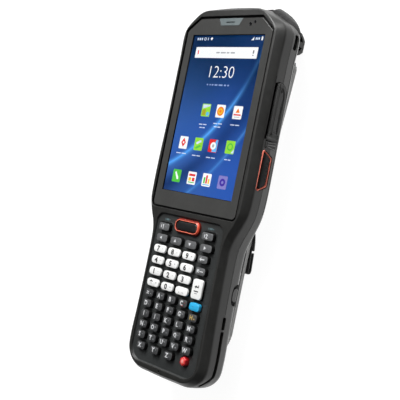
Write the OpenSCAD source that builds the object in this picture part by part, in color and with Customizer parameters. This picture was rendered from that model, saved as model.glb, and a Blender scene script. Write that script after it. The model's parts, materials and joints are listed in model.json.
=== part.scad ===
// Rugged handheld data terminal: a wide display head over a narrow keypad grip,
// with side scan keys, a hooded scan window at the top end, a drawer battery and
// a hand strap across the back.
//
// All pieces are drawn in a device frame: X to the right, Y towards the scan
// window, Z out of the display, origin at the display centre on the glass plane.
// place() then lays the terminal on its back on the plane Z = 0.

/* [Body] */
// Width of the display head at its widest line, before the side keys
head_w = 75.0; // [74.6:0.1:75.6]
// Width of the keypad grip at its widest line
grip_w = 60.2; // [59.8:0.1:61.0]
// Wall thickness of both housings
wall = 2.0; // [1.8:0.1:2.2]
// Height of the seam between the two housings, below the glass plane
seam_z = -8.0; // [-8.2:0.1:-7.8]
// Height of the front rim above the glass plane
rim_z = 0.7; // [0.6:0.05:0.9]

/* [Display] */
// Visible width of the display
lcd_w = 51.84; // [50:0.1:52]
// Visible height of the display
lcd_h = 86.4; // [84:0.1:87]
// Thickness of the cover glass
glass_t = 1.0; // [0.8:0.1:1.1]

/* [Keypad] */
// Height of the key tops above the glass plane
key_top = 2.0; // [1.6:0.1:2.4]
// Travel of a key
key_travel = 0.5; // [0.3:0.05:0.6]
// Gap around each key
key_gap = 0.25; // [0.2:0.05:0.3]
// Column pitch of the number block
num_px = 11.2; // [11.1:0.05:11.3]
// Row pitch of the number block
num_py = 6.23; // [6.15:0.01:6.3]
// Column pitch of the letter block
let_px = 8.8; // [8.7:0.05:8.85]
// Row pitch of the letter block
let_py = 5.7; // [5.65:0.01:5.75]

/* [Battery] */
// Width of the battery block
cell_w = 39; // [36:0.5:39.5]
// Thickness of the battery block
cell_t = 12.2; // [10:0.2:12.4]

/* [Strap] */
// Width of the padded strap
strap_w = 43; // [38:0.5:43.5]
// Width of the strap's lower webbing
webbing_w = 22; // [18:0.5:22.5]
// Thickness of the padded strap
strap_t = 2.0; // [1.6:0.1:2.0]

/* [Hidden] */
$fn = 48;
e = 0.01;

// Lean of the terminal when it lies on its back, head end up
lean = 1.604;
// Place of the display centre over the plane that the terminal lies on
lift = 34.655;
shift_y = 38.89;

hx = head_w / 2 - 37.5;      // change of the head's half width
gx = grip_w / 2 - 30.1;      // change of the grip's half width
mx = (hx + gx) / 2;

dark = "#2e2e2d";
grey = "#3b3b39";
rubber = "#242424";
orange = "#e8542a";
white = "#e9e9e6";
black = "#1a1a1b";
steel = "#a9acb0";
green = "#1f5a3a";

module place() {
  translate([0, shift_y, lift]) rotate([lean, 0, 0]) children();
}

// ---- Outline levels of the body: right half, from the top end to the bottom end ----
// Front face edge
LA = [for (p = [[12, 57.0], [20.5, 56.8], [24.2, 55.1], [31.3, 47.8], [32.6, 44.5],
  [32.8, 30], [32.8, 8], [32.9, -10], [33.3, -24], [33.3, -42], [32.9, -49],
  [30.7, -55.5], [28.0, -61], [26.6, -66], [26.1, -73], [26.1, -90], [26.5, -110],
  [27, -126], [26.2, -132], [23, -136.6], [18.5, -139.2], [10, -139.8]]) [p[0], p[1], rim_z]];
// Lower edge of the front chamfer
LB = [for (p = [[12, 59.2], [20.8, 58.6], [26, 56], [34, 50.4], [36.5, 46.2],
  [36.6, 30], [36.6, 8], [36.7, -10], [37.2, -24], [37.2, -42], [36.4, -49.5],
  [33.9, -55.8], [30.9, -62], [29.2, -67.5], [29.1, -74], [29.3, -90], [30, -110],
  [30.7, -126], [29.9, -133], [26.6, -137.6], [20, -141.2], [10.5, -141.8]]) [p[0], p[1], -2.8]];
// Seam between the housings
LC = [for (p = [[12.5, 60.6], [20.2, 59], [26.8, 55.2], [34.2, 50.3], [37.3, 46],
  [37.3, 30], [37.3, 8], [37.4, -10], [37.8, -24], [37.8, -42], [36.9, -49.5],
  [34.7, -55.8], [31.9, -62], [30.2, -67.5], [29.8, -74], [29.9, -90], [30.5, -110],
  [31.1, -126], [30.3, -133], [27, -137.8], [20.3, -141.5], [10.5, -142.1]]) [p[0], p[1], seam_z]];
// Rear edge of the side face
LD = [for (p = [[13, 61.2], [19.8, 58.6], [27, 54.4], [33.8, 50.4], [37.5, 46],
  [37.5, 30], [37.5, 8], [37.6, -10], [37.9, -24], [37.9, -42], [37, -49.5],
  [34.9, -55.8], [32.3, -62], [30.6, -67.5], [30.1, -74], [30.2, -90], [30.8, -110],
  [31.2, -126], [30.4, -133], [27, -137.8], [20.3, -141.5], [10.5, -142.1]]) [p[0], p[1], -13.4]];
// Middle of the rear slope
LF = [[12, 60.6, -22], [17, 58, -22], [23.2, 54, -22], [28.5, 49.5, -21.5], [31, 45, -21],
  [31.3, 30, -20.7], [31.3, 8, -20.5], [31.3, -10, -20.2], [31.4, -24, -20], [31, -42, -19.6],
  [30.2, -49.5, -19.4], [28.6, -55.8, -19.2], [27, -62, -19], [26, -67.5, -19], [25.8, -74, -19],
  [25.8, -90, -19], [26, -110, -19], [26.2, -126, -19], [25.8, -132, -19], [23, -136.4, -19],
  [18, -139.6, -19], [10, -140.4, -19]];
// Rear face
LE = [[10.5, 59.5, -29.6], [14.5, 58, -29.6], [18, 55.5, -29.6], [21.3, 52, -29.6], [23, 46, -29.6],
  [23.2, 30, -29.4], [23.2, 8, -28.8], [23, -10, -27.8], [22.6, -24, -26.9], [22, -42, -25.9],
  [21.5, -49.5, -25.4], [20.8, -55.8, -24.9], [20, -62, -24.5], [19.5, -67.5, -24.2],
  [19.5, -74, -24], [19.5, -90, -24], [19.5, -110, -24], [19.5, -126, -24], [19, -131, -24.2],
  [17, -134.5, -24.2], [13, -136.8, -24.2], [8, -137.3, -24.2]];

NP = len(LA);
// Widens a level by the change of the head's and the grip's half width
function fit(l) = [for (i = [0 : NP - 1]) [l[i][0] + (i < 10 ? hx : i < 14 ? mx : gx), l[i][1], l[i][2]]];
function ring(l) = concat(fit(l), [for (i = [NP - 1 : -1 : 0]) [-fit(l)[i][0], l[i][1], l[i][2]]]);
function flat(l) = [for (p = ring(l)) [p[0], p[1]]];
// A level drawn in by d on each side and at both ends
function drawn_in(l, d, dz) = [for (i = [0 : NP - 1])
  [max(2, l[i][0] - (i < 3 ? 0.55 * d : i > 18 ? 0.6 * d : d)),
   l[i][1] - (i < 3 ? d : i == 3 ? 0.6 * d : i == 4 ? 0.3 * d : 0) + (i > 18 ? d : i == 18 ? 0.5 * d : 0),
   l[i][2] + dz]];

// Closed solid through levels listed from the highest to the lowest
module loft(levels) {
  n = 2 * NP;
  m = len(levels);
  pts = [for (l = levels) for (p = ring(l)) p];
  side = [for (j = [0 : m - 2]) for (i = [0 : n - 1])
    [j * n + i, j * n + (i + 1) % n, (j + 1) * n + (i + 1) % n, (j + 1) * n + i]];
  side3 = [for (q = side) each [[q[0], q[2], q[1]], [q[0], q[3], q[2]]]];
  top = [for (i = [0 : NP - 2]) [i, i + 1, n - 2 - i, n - 1 - i]];
  base = (m - 1) * n;
  bottom = [for (i = [0 : NP - 2]) [base + n - 1 - i, base + n - 2 - i, base + i + 1, base + i]];
  polyhedron(points = pts, faces = concat(side3, [for (f = top) each [[f[0], f[1], f[2]], [f[0], f[2], f[3]]]],
    [for (f = bottom) each [[f[0], f[1], f[2]], [f[0], f[2], f[3]]]]), convexity = 6);
}

module front_outer() { loft([LA, LB, LC]); }
module rear_outer() { loft([LC, LD, LF, LE]); }

// Rounded rectangle, exact arcs
module rrect(w, h, r) {
  union() {
    if (w > 2 * r) square([w - 2 * r, h], center = true);
    if (h > 2 * r) square([w, h - 2 * r], center = true);
    for (sx = [-1, 1], sy = [-1, 1]) translate([sx * (w / 2 - r), sy * (h / 2 - r)]) circle(r);
  }
}
module plate(w, h, r, z0, z1) { translate([0, 0, z0]) linear_extrude(z1 - z0) rrect(w, h, r); }
module zcyl(r, z0, z1) { translate([0, 0, z0]) cylinder(r = r, h = z1 - z0); }
module xcyl(r, x0, x1) { translate([x0, 0, 0]) rotate([0, 90, 0]) cylinder(r = r, h = x1 - x0); }
// Extrudes an outline drawn in (Y, Z) along X
module along_x(x0, x1) { translate([x0, 0, 0]) rotate([90, 0, 90]) linear_extrude(x1 - x0) children(); }

// ---- Front face pieces ----
glass_top = 0.35;
glass_under = glass_top - glass_t;
module glass_outline() {
  difference() {
    translate([0, -0.075]) square([61.4, 104.55], center = true);
    for (s = [-1, 1]) {
      translate([s * 30.8, 52.3]) rotate(45) square([10.6, 10.6], center = true);
      translate([s * 30.7, -52.35]) difference() {
        square([5, 5], center = true);
        translate([-s * 2.5, 2.5]) circle(2.5);
      }
    }
  }
}
module pocket_outline() {
  polygon([[-31.3, -52.75], [31.3, -52.75], [31.3, 45.7], [23.9, 53.25], [-23.9, 53.25], [-31.3, 45.7]]);
}
module keypad_outline() {
  union() {
    polygon([[-24.9, -59.8], [-23.8, -57.3], [-21.4, -56.2], [21.4, -56.2], [23.8, -57.3], [24.9, -59.8],
      [24.9, -130], [24.0, -133], [21.4, -135.6], [17.4, -137], [-17.4, -137], [-21.4, -135.6],
      [-24.0, -133], [-24.9, -130]]);
  }
}

// ---- Key table: centre x, centre y, width, height, corner radius ----
num_x = [-1.5 * num_px, -0.5 * num_px, 0.5 * num_px, 1.5 * num_px];
num_y0 = -75.5;
let_y0 = -100.1;
arrow_y = -69.5;
function let_x(i) = (i - 2) * let_px;
function num_y(r) = num_y0 - r * num_py;
function let_y(r) = let_y0 - r * let_py;
k_scan = [-0.65, -60.9, 15.6, 4.9, 2.1];
k_p1 = [num_x[0] - 0.2, -63.4, 8.3, 4.2, 1.3];
k_p2 = [num_x[3] - 0.7, -63.4, 8.3, 4.2, 1.3];
k_arrow = [for (i = [0 : 3]) [num_x[i] - 0.2, arrow_y, 8.6, 4.3, 1.5]];
function k_num(c, r) = [num_x[c] - 0.05, num_y(r), 9.5, 4.2, 1.6];
k_bksp = [num_x[3] - 0.8, num_y(0) + 0.05, 7.2, 4.1, 1.4];
k_esc = [num_x[3] - 0.75, num_y(1) + 0.05, 7.2, 4.1, 1.4];
k_ent = [num_x[3] - 0.55, (num_y(2) + num_y(3)) / 2 + 0.15, 7.5, 10.6, 1.3];
k_blue = [let_x(4) - 0.85, let_y(0), 7.5, 4.3, 1.5];
k_pwr = [let_x(4) - 1.2, let_y(5) + 0.1, 5.2, 5.4, 1.8];
function k_let(c, r) = [let_x(c) - 0.5, let_y(r), 6.5, 4.2, 1.4];
// Letters in each row: first column, number of keys and their pitch
let_rows = [
  [for (c = [0 : 3]) k_let(c, 0)],
  [for (c = [0 : 4]) k_let(c, 1)],
  [for (c = [0 : 4]) k_let(c, 2)],
  [for (c = [0 : 4]) k_let(c, 3)],
  [for (c = [0 : 4]) k_let(c, 4)],
  [for (c = [0 : 2]) [num_x[c] + 0.4 - c * 0.4, let_y(5), 6.5, 4.2, 1.4]]
];
all_keys = concat([k_p1, k_p2, k_bksp, k_esc, k_ent, k_blue, k_pwr], k_arrow,
  [for (c = [0 : 2], r = [0 : 3]) k_num(c, r)], [for (r = let_rows) each r]);

panel_z = -0.4;       // floor of the keypad recess
under_z = -1.7;       // inner side of the front face
mat_top = -2.05;

module key_cap(k, col, drop = 0) {
  color(col) translate([k[0], k[1], 0]) {
    plate(k[2], k[3], k[4], -1.3, key_top - 0.5 - drop);
    plate(k[2] - 0.8, k[3] - 0.8, max(0.5, k[4] - 0.4), key_top - 0.5 - drop, key_top - drop);
    zcyl(1.4, -1.45, -1.2);
  }
}
module key_hole(k, g) { translate([k[0], k[1], 0]) plate(k[2] + 2 * g, k[3] + 2 * g, k[4] + g, -3, 3); }

module scan_key() { key_cap(k_scan, black, 0.4); }
module scan_key_ring() {
  color(orange) translate([k_scan[0], k_scan[1], 0]) difference() {
    plate(18.8, 8.0, 3.5, -1.6, 1.6);
    plate(k_scan[2] + 2 * key_gap, k_scan[3] + 2 * key_gap, k_scan[4] + key_gap, -3, 3);
  }
}

boss_xy = [[31.2, 38], [31.2, -40], [24.4, -66], [24.6, -127]];
module each_boss() { for (b = boss_xy, s = [-1, 1]) translate([s * b[0], b[1], 0]) children(); }

// Side key outline in (Y, Z): a long trapezoid, its long edge towards the front
module side_key_outline(g) {
  polygon([[-15.6 + g * 1.5, -4.3 + g], [-34.9 - g * 1.5, -4.3 + g], [-31.9 - g * 0.9, -9.7 - g], [-18.6 + g * 0.9, -9.7 - g]]);
}
ring_g = 1.1;
module side_key_hole(s) { mirror([s < 0 ? 1 : 0, 0, 0]) along_x(33.4, 40) side_key_outline(ring_g + 0.1); }

// Port cover outline in (Y, Z)
module cover_outline(g) {
  polygon([[-7.4 - g, -4.0 + g], [19.4 + g, -4.0 + g], [20 + g, -4.6], [20 + g, -7.6], [18.8 + g, -9.9 - g * 0.5],
    [16.4, -11.7 - g], [12.6, -12.4 - g], [-6.4, -12.4 - g], [-7.4 - g, -11.4]]);
}
hinge_x = 36.9;
hinge_y = -8.7;
module cover_pocket() {
  along_x(35.9, 40) cover_outline(0.25);
  translate([hinge_x, hinge_y, 0]) zcyl(1.5, -11.8, -3.9);
  translate([hinge_x, hinge_y - 1.5, -11.8]) cube([4, 3, 7.9]);
}
usb_z = -9.0;
module usb_hole() { translate([26, 5, usb_z]) rotate([90, 0, 90]) linear_extrude(10) rrect(9.3, 3.6, 1.7); }

// Groove that follows the seam round the lower end
module seam_groove() {
  difference() {
    translate([0, 0, seam_z - 0.9]) linear_extrude(1.8) difference() {
      offset(delta = 1) polygon(flat(LC));
      offset(delta = -1.2) polygon(flat(LC));
    }
    translate([-50, -102.5, -20]) cube([100, 200, 40]);
    translate([-50, -109.8, -20]) cube([100, 1.6, 40]);
  }
}

module front_housing() {
  color(grey) difference() {
    union() {
      difference() {
        front_outer();
        // Inner space
        translate([0, 0, seam_z - 1]) linear_extrude(under_z - seam_z + 1) offset(delta = -wall - 0.7) polygon(flat(LB));
      }
      each_boss() zcyl(2.9, seam_z, under_z + 0.2);
    }
    // Display pocket and the opening under it
    translate([0, 0, glass_under]) linear_extrude(3) pocket_outline();
    translate([0, 0, -3]) linear_extrude(4) translate([0, 0]) square([57.4, 95.4], center = true);
    // Keypad recess and key holes
    translate([0, 0, panel_z]) linear_extrude(3) keypad_outline();
    for (k = all_keys) key_hole(k, key_gap);
    translate([k_scan[0], k_scan[1], 0]) plate(18.9, 8.1, 3.55, -3, 3);
    // Screw pilots
    each_boss() zcyl(1.2, seam_z - 1, -3.2);
    // Side keys, port cover, charging contacts
    for (s = [-1, 1]) side_key_hole(s);
    cover_pocket();
    usb_hole();
    for (i = [0 : 3]) translate([-6 + 4 * i, -141, -5.4]) rotate([90, 0, 0]) cylinder(r = 1.05, h = 4, center = true);
    // Microphone hole below the keypad
    translate([0, -138.5, 0]) zcyl(0.5, -3, 2);
    seam_groove();
  }
}

module boss_rear(b) { translate([0, 0, -17.4]) cylinder(r = 3.3, h = 17.4 + seam_z); }

module rear_housing() {
  color(dark) difference() {
    union() {
      difference() {
        rear_outer();
        // Inner space, open towards the front
        loft([for (l = [[LC, 1], [LD, 0.2], [LF, 0.9], [LE, wall]]) drawn_in(l[0], wall + 0.1, l[1])]);
      }
      intersection() {
        each_boss() boss_rear();
        rear_outer();
      }
      // Bulkhead that carries the battery contacts
      translate([-25, -60, -24]) cube([50, 1.6, 24 + seam_z - 0.6]);
      // Lugs of the strap's lower pin
      for (s = [-1, 1]) translate([s * 13.4 - 1.6, 0, 0]) along_x(0, 3.2)
        polygon([[-123.6, -23.2], [-124.4, -28.6], [-125.4, -31.3], [-129.8, -31.3], [-131, -29], [-131.6, -23.2]]);
    }
    // Screw seats
    each_boss() zcyl(1.3, -40, seam_z + 1);
    each_boss() zcyl(2.5, -40, -15.2);
    // Window for the scan engine
    translate([-12.5, 50, -26.6]) cube([25, 20, 10]);
    // Side keys, port cover
    for (s = [-1, 1]) side_key_hole(s);
    cover_pocket();
    usb_hole();
    // Battery way in at the lower end
    translate([0, -128, -15.7]) rotate([90, 0, 0]) linear_extrude(20) rrect(cell_w + 0.6, 13.2, 1.5);
    // Vent slots near the top of the side faces
    for (s = [-1, 1]) translate([s * 37.6, 42.2, -10.7]) rotate([-6.6, 0, 0]) cube([2.6, 7.2, 1.3], center = true);
    // Finger scoops in the grip's sides
    for (s = [-1, 1]) translate([s * 33.5, -90.6, -14.3]) rotate([90, 0, 0]) cylinder(r = 4.4, h = 11.5, center = true);
    // Pin of the strap
    translate([0, -127.5, -27.9]) xcyl(1.22, -20, 20);
    // Speaker slots
    for (i = [-2 : 2]) translate([0, -10 + i * 2.6, -30]) cube([15, 1.1, 12], center = true);
    seam_groove();
    below_ground();
  }
}

// Everything below the plane that the terminal lies on
module below_ground() {
  rotate([-lean, 0, 0]) translate([0, -shift_y, -lift]) translate([-100, -200, -20]) cube([200, 400, 20]);
}

// ---- Rubber hood round the scan window ----
H0 = [[10, 61.6], [13.6, 61.5], [20.4, 59.2], [27.4, 55.6], [34.0, 51.9], [36.4, 48.4]];
H1 = [[10, 62.5], [13.2, 62.4], [18.4, 60.9], [25.6, 57.5], [30.6, 53.2], [33.6, 47.6]];
H2 = [[10, 62.6], [12.6, 62.4], [17.2, 60.8], [22.6, 57.5], [25.8, 53.8], [28.4, 47.6]];
H3 = [[9, 61.6], [11.6, 61.3], [15.6, 59.7], [19.6, 57.2], [23, 53.6], [24.6, 47.6]];
hood_z = [-14.6, -19, -25.4, -29.6];
module hood_outer() {
  hs = [H0, H1, H2, H3];
  nn = 12;
  pts = [for (j = [0 : 3]) each concat([for (p = hs[j]) [p[0], p[1], hood_z[j]]], [for (i = [5 : -1 : 0]) [-hs[j][i][0], hs[j][i][1], hood_z[j]]])];
  side = [for (j = [0 : 2]) for (i = [0 : nn - 1]) each
    [[j * nn + i, (j + 1) * nn + (i + 1) % nn, j * nn + (i + 1) % nn], [j * nn + i, (j + 1) * nn + i, (j + 1) * nn + (i + 1) % nn]]];
  top = [for (i = [0 : 4]) each [[i, i + 1, nn - 2 - i], [i, nn - 2 - i, nn - 1 - i]]];
  bot = [for (i = [0 : 4]) each [[36 + nn - 1 - i, 36 + nn - 2 - i, 36 + i + 1], [36 + nn - 1 - i, 36 + i + 1, 36 + i]]];
  polyhedron(points = pts, faces = concat(side, top, bot), convexity = 4);
}
module scan_hood() {
  color(rubber) difference() {
    hood_outer();
    rear_outer();
    translate([-13.4, 55, -27.0]) cube([26.8, 20, 10.8]);
    translate([-60, 30, -40]) cube([120, 18.6, 40]);
  }
}
module scan_window() {
  color("#3a1414") translate([-13.2, 61.25, -26.8]) cube([26.4, 0.7, 10.4]);
}
module scan_engine() {
  color(black) difference() {
    translate([-10.5, 42.5, -26.8]) cube([21, 14.6, 12]);
    translate([-4.5, 57.2, -20.8]) rotate([90, 0, 0]) cylinder(r = 3.2, h = 1.6);
    translate([5, 57.2, -20.8]) rotate([90, 0, 0]) cylinder(r = 2.2, h = 1.1);
  }
}

// ---- Display ----
module cover_glass() {
  color([0.08, 0.09, 0.1, 0.6]) difference() {
    translate([0, 0, glass_under]) linear_extrude(glass_t) glass_outline();
    translate([0, 0, -2]) linear_extrude(4) polygon([[-8.75, 60], [-8.75, 52.2], [-6.55, 48.15], [6.55, 48.15], [8.75, 52.2], [8.75, 60]]);
    translate([14.6, 48.9, -2]) cylinder(r = 1.02, h = 4);
    translate([17.6, 50, -2]) cylinder(r = 0.82, h = 4);
  }
}
module earpiece_grille() {
  color("#6f7a7c") difference() {
    translate([0, 0, glass_under]) linear_extrude(glass_t - 0.1)
      polygon([[-8.6, 52.2], [8.6, 52.2], [8.6, 51.95], [6.45, 48.3], [-6.45, 48.3], [-8.6, 51.95]]);
    translate([0, 50.2, -1]) plate(7, 0.9, 0.45, -1, 3);
  }
}
module sensor_lenses() {
  color(black) {
    translate([14.6, 48.9, 0]) zcyl(1.0, glass_under, glass_top);
    translate([17.6, 50, 0]) zcyl(0.8, glass_under, glass_top);
  }
}
module lcd_panel() {
  color("#2c4f9a") translate([0, 0, -4.2]) linear_extrude(4.2 + glass_under) square([lcd_w + 4.4, lcd_h + 7.4], center = true);
}

// ---- Inner pieces ----
module key_mat() {
  color("#4a4a4c") difference() {
    translate([0, 0, -3.0]) linear_extrude(3.0 + mat_top) translate([0, -96.1]) square([48.6, 76.6], center = true);
    each_boss() zcyl(3.2, -10, 5);
  }
}
module keypad_board() {
  color(green) difference() {
    translate([0, 0, -4.2]) linear_extrude(1.2) translate([0, -96.1]) square([49.6, 77.4], center = true);
    each_boss() zcyl(3.2, -10, 5);
    translate([0, -97.2, -6]) cylinder(r = 1.5, h = 5);
  }
}
module mid_frame() {
  color("#8d9195") difference() {
    union() {
      translate([0, 0, -5.2]) linear_extrude(1.0) offset(delta = -wall - 1.0) polygon(flat(LB));
      for (p = [[22, 44], [-22, 44], [22, -42], [-22, -42], [0, 0]]) translate([p[0], p[1], 0]) zcyl(2, -6.0, -5.2);
    }
    each_boss() zcyl(3.2, -10, 5);
    for (s = [-1, 1]) side_key_hole(s);
    translate([33, -11, -12]) cube([8, 33, 10]);
    for (y = [-75, -120]) translate([0, y, 0]) plate(24, 9, 3, -8, 0);
  }
}
module main_board() {
  color(green) union() {
    difference() {
      translate([0, 0, -7.2]) linear_extrude(1.2) square([60, 95.6], center = true);
      each_boss() zcyl(3.7, -12, 5);
      for (s = [-1, 1]) translate([s * 31, -25, -8]) cube([6, 24, 6], center = true);
    }
    translate([-22, 8, -9.6]) cube([24, 26, 2.4]);
    translate([6, -2, -9.2]) cube([14, 18, 2.0]);
    translate([-18, -38, -9.6]) cube([20, 30, 2.4]);
    translate([8, -40, -10.2]) cube([14, 16, 3.0]);
  }
}
module usb_connector() {
  color(steel) difference() {
    translate([26.2, 5, usb_z]) rotate([90, 0, 90]) linear_extrude(8.6) rrect(9.0, 3.3, 1.55);
    translate([27.4, 5, usb_z]) rotate([90, 0, 90]) linear_extrude(9) rrect(8.4, 2.7, 1.3);
  }
  color(black) translate([27.0, 2.0, usb_z - 0.3]) cube([6.6, 6, 0.6]);
}
module speaker() {
  color(black) union() {
    translate([-10, -18.6, -23.7]) cube([20, 17.2, 4.2]);
    translate([0, -10, 0]) zcyl(6.8, -24.7, -23.5);
  }
}
module vibration_motor() {
  color(steel) translate([-24, 20, -14]) {
    rotate([90, 0, 0]) cylinder(r = 2.2, h = 11, center = true);
    translate([0, -7.4, 0]) rotate([90, 0, 0]) cylinder(r = 0.6, h = 4, center = true);
    translate([0, -8.2, -0.9]) rotate([90, 0, 0]) cylinder(r = 1.6, h = 3, center = true);
  }
}
module battery_contacts() {
  color("#b8963c") union() {
    translate([-9, -61.4, -16.4]) cube([18, 1.4, 5.4]);
    for (i = [-1.5 : 1 : 1.5]) translate([i * 4.4 - 0.8, -62.2, -15.4]) cube([1.6, 0.9, 3.2]);
  }
}
module charge_contacts() {
  color("#c9a24a") for (i = [0 : 3]) translate([-6 + 4 * i, -140.4, -5.4]) rotate([90, 0, 0]) cylinder(r = 1.0, h = 1.5);
}

// ---- Battery drawer: cell block and the end cap that closes the lower end ----
module battery_pack() {
  color("#2b2c2e") difference() {
    union() {
      translate([0, -62.4, 0]) rotate([90, 0, 0]) linear_extrude(71.6) polygon([for (p = [[1, -9.6], [1, -7.2 - cell_t],
        [0.84, -9.4 - cell_t], [-0.84, -9.4 - cell_t], [-1, -7.2 - cell_t], [-1, -9.6]]) [p[0] * (cell_w / 2 - 0.4), p[1]]]);
      intersection() {
        translate([0, -130, -15.7]) rotate([90, 0, 0]) linear_extrude(20) rrect(cell_w + 0.1, 12.7, 1.3);
        rear_outer();
      }
    }
    // Latch track in the end cap
    translate([-9, -143, -17.6]) cube([18, 4.4, 4.0]);
    // Contact lands
    for (i = [-1.5 : 1 : 1.5]) translate([i * 4.4 - 1.2, -63.0, -15.8]) cube([2.4, 1, 4.0]);
  }
}
module battery_latch() {
  color("#4c4d50") union() {
    translate([-8.6, -141.2, -17.4]) cube([11, 2.2, 3.6]);
    for (i = [0 : 3]) translate([-6.6 + i * 2, -141.8, -17.2]) cube([0.9, 0.8, 3.2]);
  }
}

// ---- Side pieces ----
module side_key(s) {
  color(black) mirror([s < 0 ? 1 : 0, 0, 0]) along_x(34.2, 38.0) side_key_outline(-0.2);
}
module side_key_right() { side_key(1); }
module side_key_left() { side_key(-1); }
module side_key_rings() {
  color(orange) for (s = [-1, 1]) mirror([s < 0 ? 1 : 0, 0, 0]) along_x(34.6, 37.8) difference() {
    side_key_outline(ring_g);
    side_key_outline(0.02);
  }
}
module port_cover() {
  color(rubber) union() {
    along_x(36.0, 37.7) cover_outline(0);
    translate([hinge_x, hinge_y, 0]) zcyl(1.15, -11.2, -4.3);
    translate([hinge_x - 0.8, hinge_y, -10.3]) cube([1.6, 1.6, 5.9]);
    // Tongue that plugs the socket
    translate([35.4, 5, usb_z]) rotate([90, 0, 90]) linear_extrude(0.7) rrect(7.6, 2.0, 0.9);
    // Finger lip
    along_x(37.6, 38.1) polygon([[18.2, -5.2], [19.4, -5.2], [19.4, -7.6], [18.2, -9]]);
  }
}

// ---- Hand strap ----
bar_y = 47.6;
bar_z = -32.8;
pin_y = -127.5;
pin_z = -27.9;
module strap_bracket() {
  color(black) difference() {
    union() {
      for (s = [-1, 1]) translate([s * 21.7 - 1.1, 0, 0]) along_x(0, 2.2) difference() {
        polygon([[54.2, -29.7], [53.6, -32.6], [51.6, -35], [49.4, -37], [44.6, -37], [42.2, -34], [40.4, -29.7]]);
        polygon([[52.2, -30.8], [51.7, -32.4], [50.4, -33.8], [48.6, -34.6], [46.2, -34.6], [44.0, -33], [43.2, -30.8]]);
      }
      translate([0, bar_y, bar_z]) xcyl(1.4, -21, 21);
      for (s = [-1, 1]) translate([s * 21.7 - 1.1, 0, 0]) along_x(0, 2.2)
        polygon([[48.6, -31.8], [46.6, -31.8], [46.2, -36], [49, -36]]);
      translate([-22.8, 40.4, -30.9]) cube([45.6, 2.6, 1.2]);
    }
    rear_outer();
    below_ground();
  }
}
// Outer face of the strap, from the bar to the lower webbing
so = [[45.2, -35.55], [38, -35.45], [22, -34.2], [0, -32.25], [-24, -30.1], [-44, -28.35], [-60, -27.0], [-70, -26.55], [-84, -26.4], [-119, -26.4]];
module strap_webbing() {
  color("#1d1d1e") union() {
    // Padded length
    along_x(-strap_w / 2, strap_w / 2) polygon(concat([for (p = so) if (p[0] < 40) p], [for (i = [len(so) - 1 : -1 : 0]) if (so[i][0] < 40) [so[i][0], so[i][1] + strap_t]]));
    // Turn round the upper bar
    along_x(-19.6, 19.6) difference() {
      union() {
        translate([bar_y, bar_z]) circle(2.9);
        polygon([[bar_y, bar_z - 2.9], [36, -35.3], [36, -33.9], [bar_y, bar_z - 1.5]]);
        polygon([[bar_y, bar_z + 2.9], [41, -31.6], [34, -33.2], [34, -34.4], [41, -33], [bar_y, bar_z + 1.5]]);
      }
      translate([bar_y, bar_z]) circle(1.5);
    }
    // Lower webbing and its turn round the pin
    along_x(-webbing_w / 2, webbing_w / 2) difference() {
      union() {
        translate([pin_y, pin_z]) circle(2.7);
        polygon([[pin_y, pin_z + 2.7], [-118, -24.6], [-118, -26.0], [pin_y, pin_z + 1.3]]);
        polygon([[pin_y, pin_z - 2.7], [-112, -27.8], [-108, -27.7], [-108, -26.2], [-118, -26.2], [pin_y, pin_z - 1.3]]);
      }
      translate([pin_y, pin_z]) circle(1.3);
    }
  }
}
module strap_tail() {
  color("#262627") along_x(-strap_w / 2, strap_w / 2) polygon([[-56, -27.5], [-60, -30.4], [-66.5, -31.6], [-66.5, -29.2], [-68, -29.3],
    [-68, -31.2], [-79, -32.1], [-79, -28.0], [-66, -28.0], [-62, -27.1], [-60, -27.15]]);
}
module strap_anchor_pin() {
  color(steel) translate([0, pin_y, pin_z]) xcyl(1.2, -15.0, 15.0);
}

// ---- Fasteners ----
module housing_screws() {
  color(steel) each_boss() difference() {
    union() {
      zcyl(2.2, -17.0, -15.2);
      zcyl(1.18, -15.3, -4.2);
    }
    translate([0, 0, -17.1]) cylinder(r = 1.0, h = 1.0, $fn = 6);
  }
}

module letter_row(i) { for (k = let_rows[i]) key_cap(k, black); }

place() {
  front_housing();
  rear_housing();
  scan_hood();
  cover_glass();
  lcd_panel();
  earpiece_grille();
  sensor_lenses();
  key_mat();
  keypad_board();
  scan_key_ring();
  mid_frame();
  main_board();
  scan_engine();
  scan_window();
  speaker();
  vibration_motor();
  side_key_right();
  side_key_left();
  side_key_rings();
  port_cover();
  usb_connector();
  battery_pack();
  battery_latch();
  battery_contacts();
  charge_contacts();
  strap_bracket();
  strap_webbing();
  strap_tail();
  strap_anchor_pin();
  housing_screws();
  scan_key();
  key_cap(k_p1, black);  // key_p1
  key_cap(k_p2, black);  // key_p2
  key_cap(k_arrow[1], black);  // key_up
  key_cap(k_arrow[2], black);  // key_down
  key_cap(k_arrow[0], black);  // key_left
  key_cap(k_arrow[3], black);  // key_right
  key_cap(k_num(0, 0), white);  // key_7
  key_cap(k_num(1, 0), white);  // key_8
  key_cap(k_num(2, 0), white);  // key_9
  key_cap(k_num(0, 1), white);  // key_4
  key_cap(k_num(1, 1), white);  // key_5
  key_cap(k_num(2, 1), white);  // key_6
  key_cap(k_num(0, 2), white);  // key_1
  key_cap(k_num(1, 2), white);  // key_2
  key_cap(k_num(2, 2), white);  // key_3
  key_cap(k_num(0, 3), white);  // key_star
  key_cap(k_num(1, 3), white);  // key_0
  key_cap(k_num(2, 3), white);  // key_dot
  key_cap(k_bksp, black);  // key_backspace
  key_cap(k_esc, black);  // key_escape
  key_cap(k_ent, white);  // key_enter
  key_cap(k_blue, "#35b5e5");  // key_blue
  key_cap(k_pwr, "#c92a30");  // key_power
  letter_row(0);  // letter_row_1
  letter_row(1);  // letter_row_2
  letter_row(2);  // letter_row_3
  letter_row(3);  // letter_row_4
  letter_row(4);  // letter_row_5
  letter_row(5);  // letter_row_6
}
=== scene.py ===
import json
import math

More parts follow.
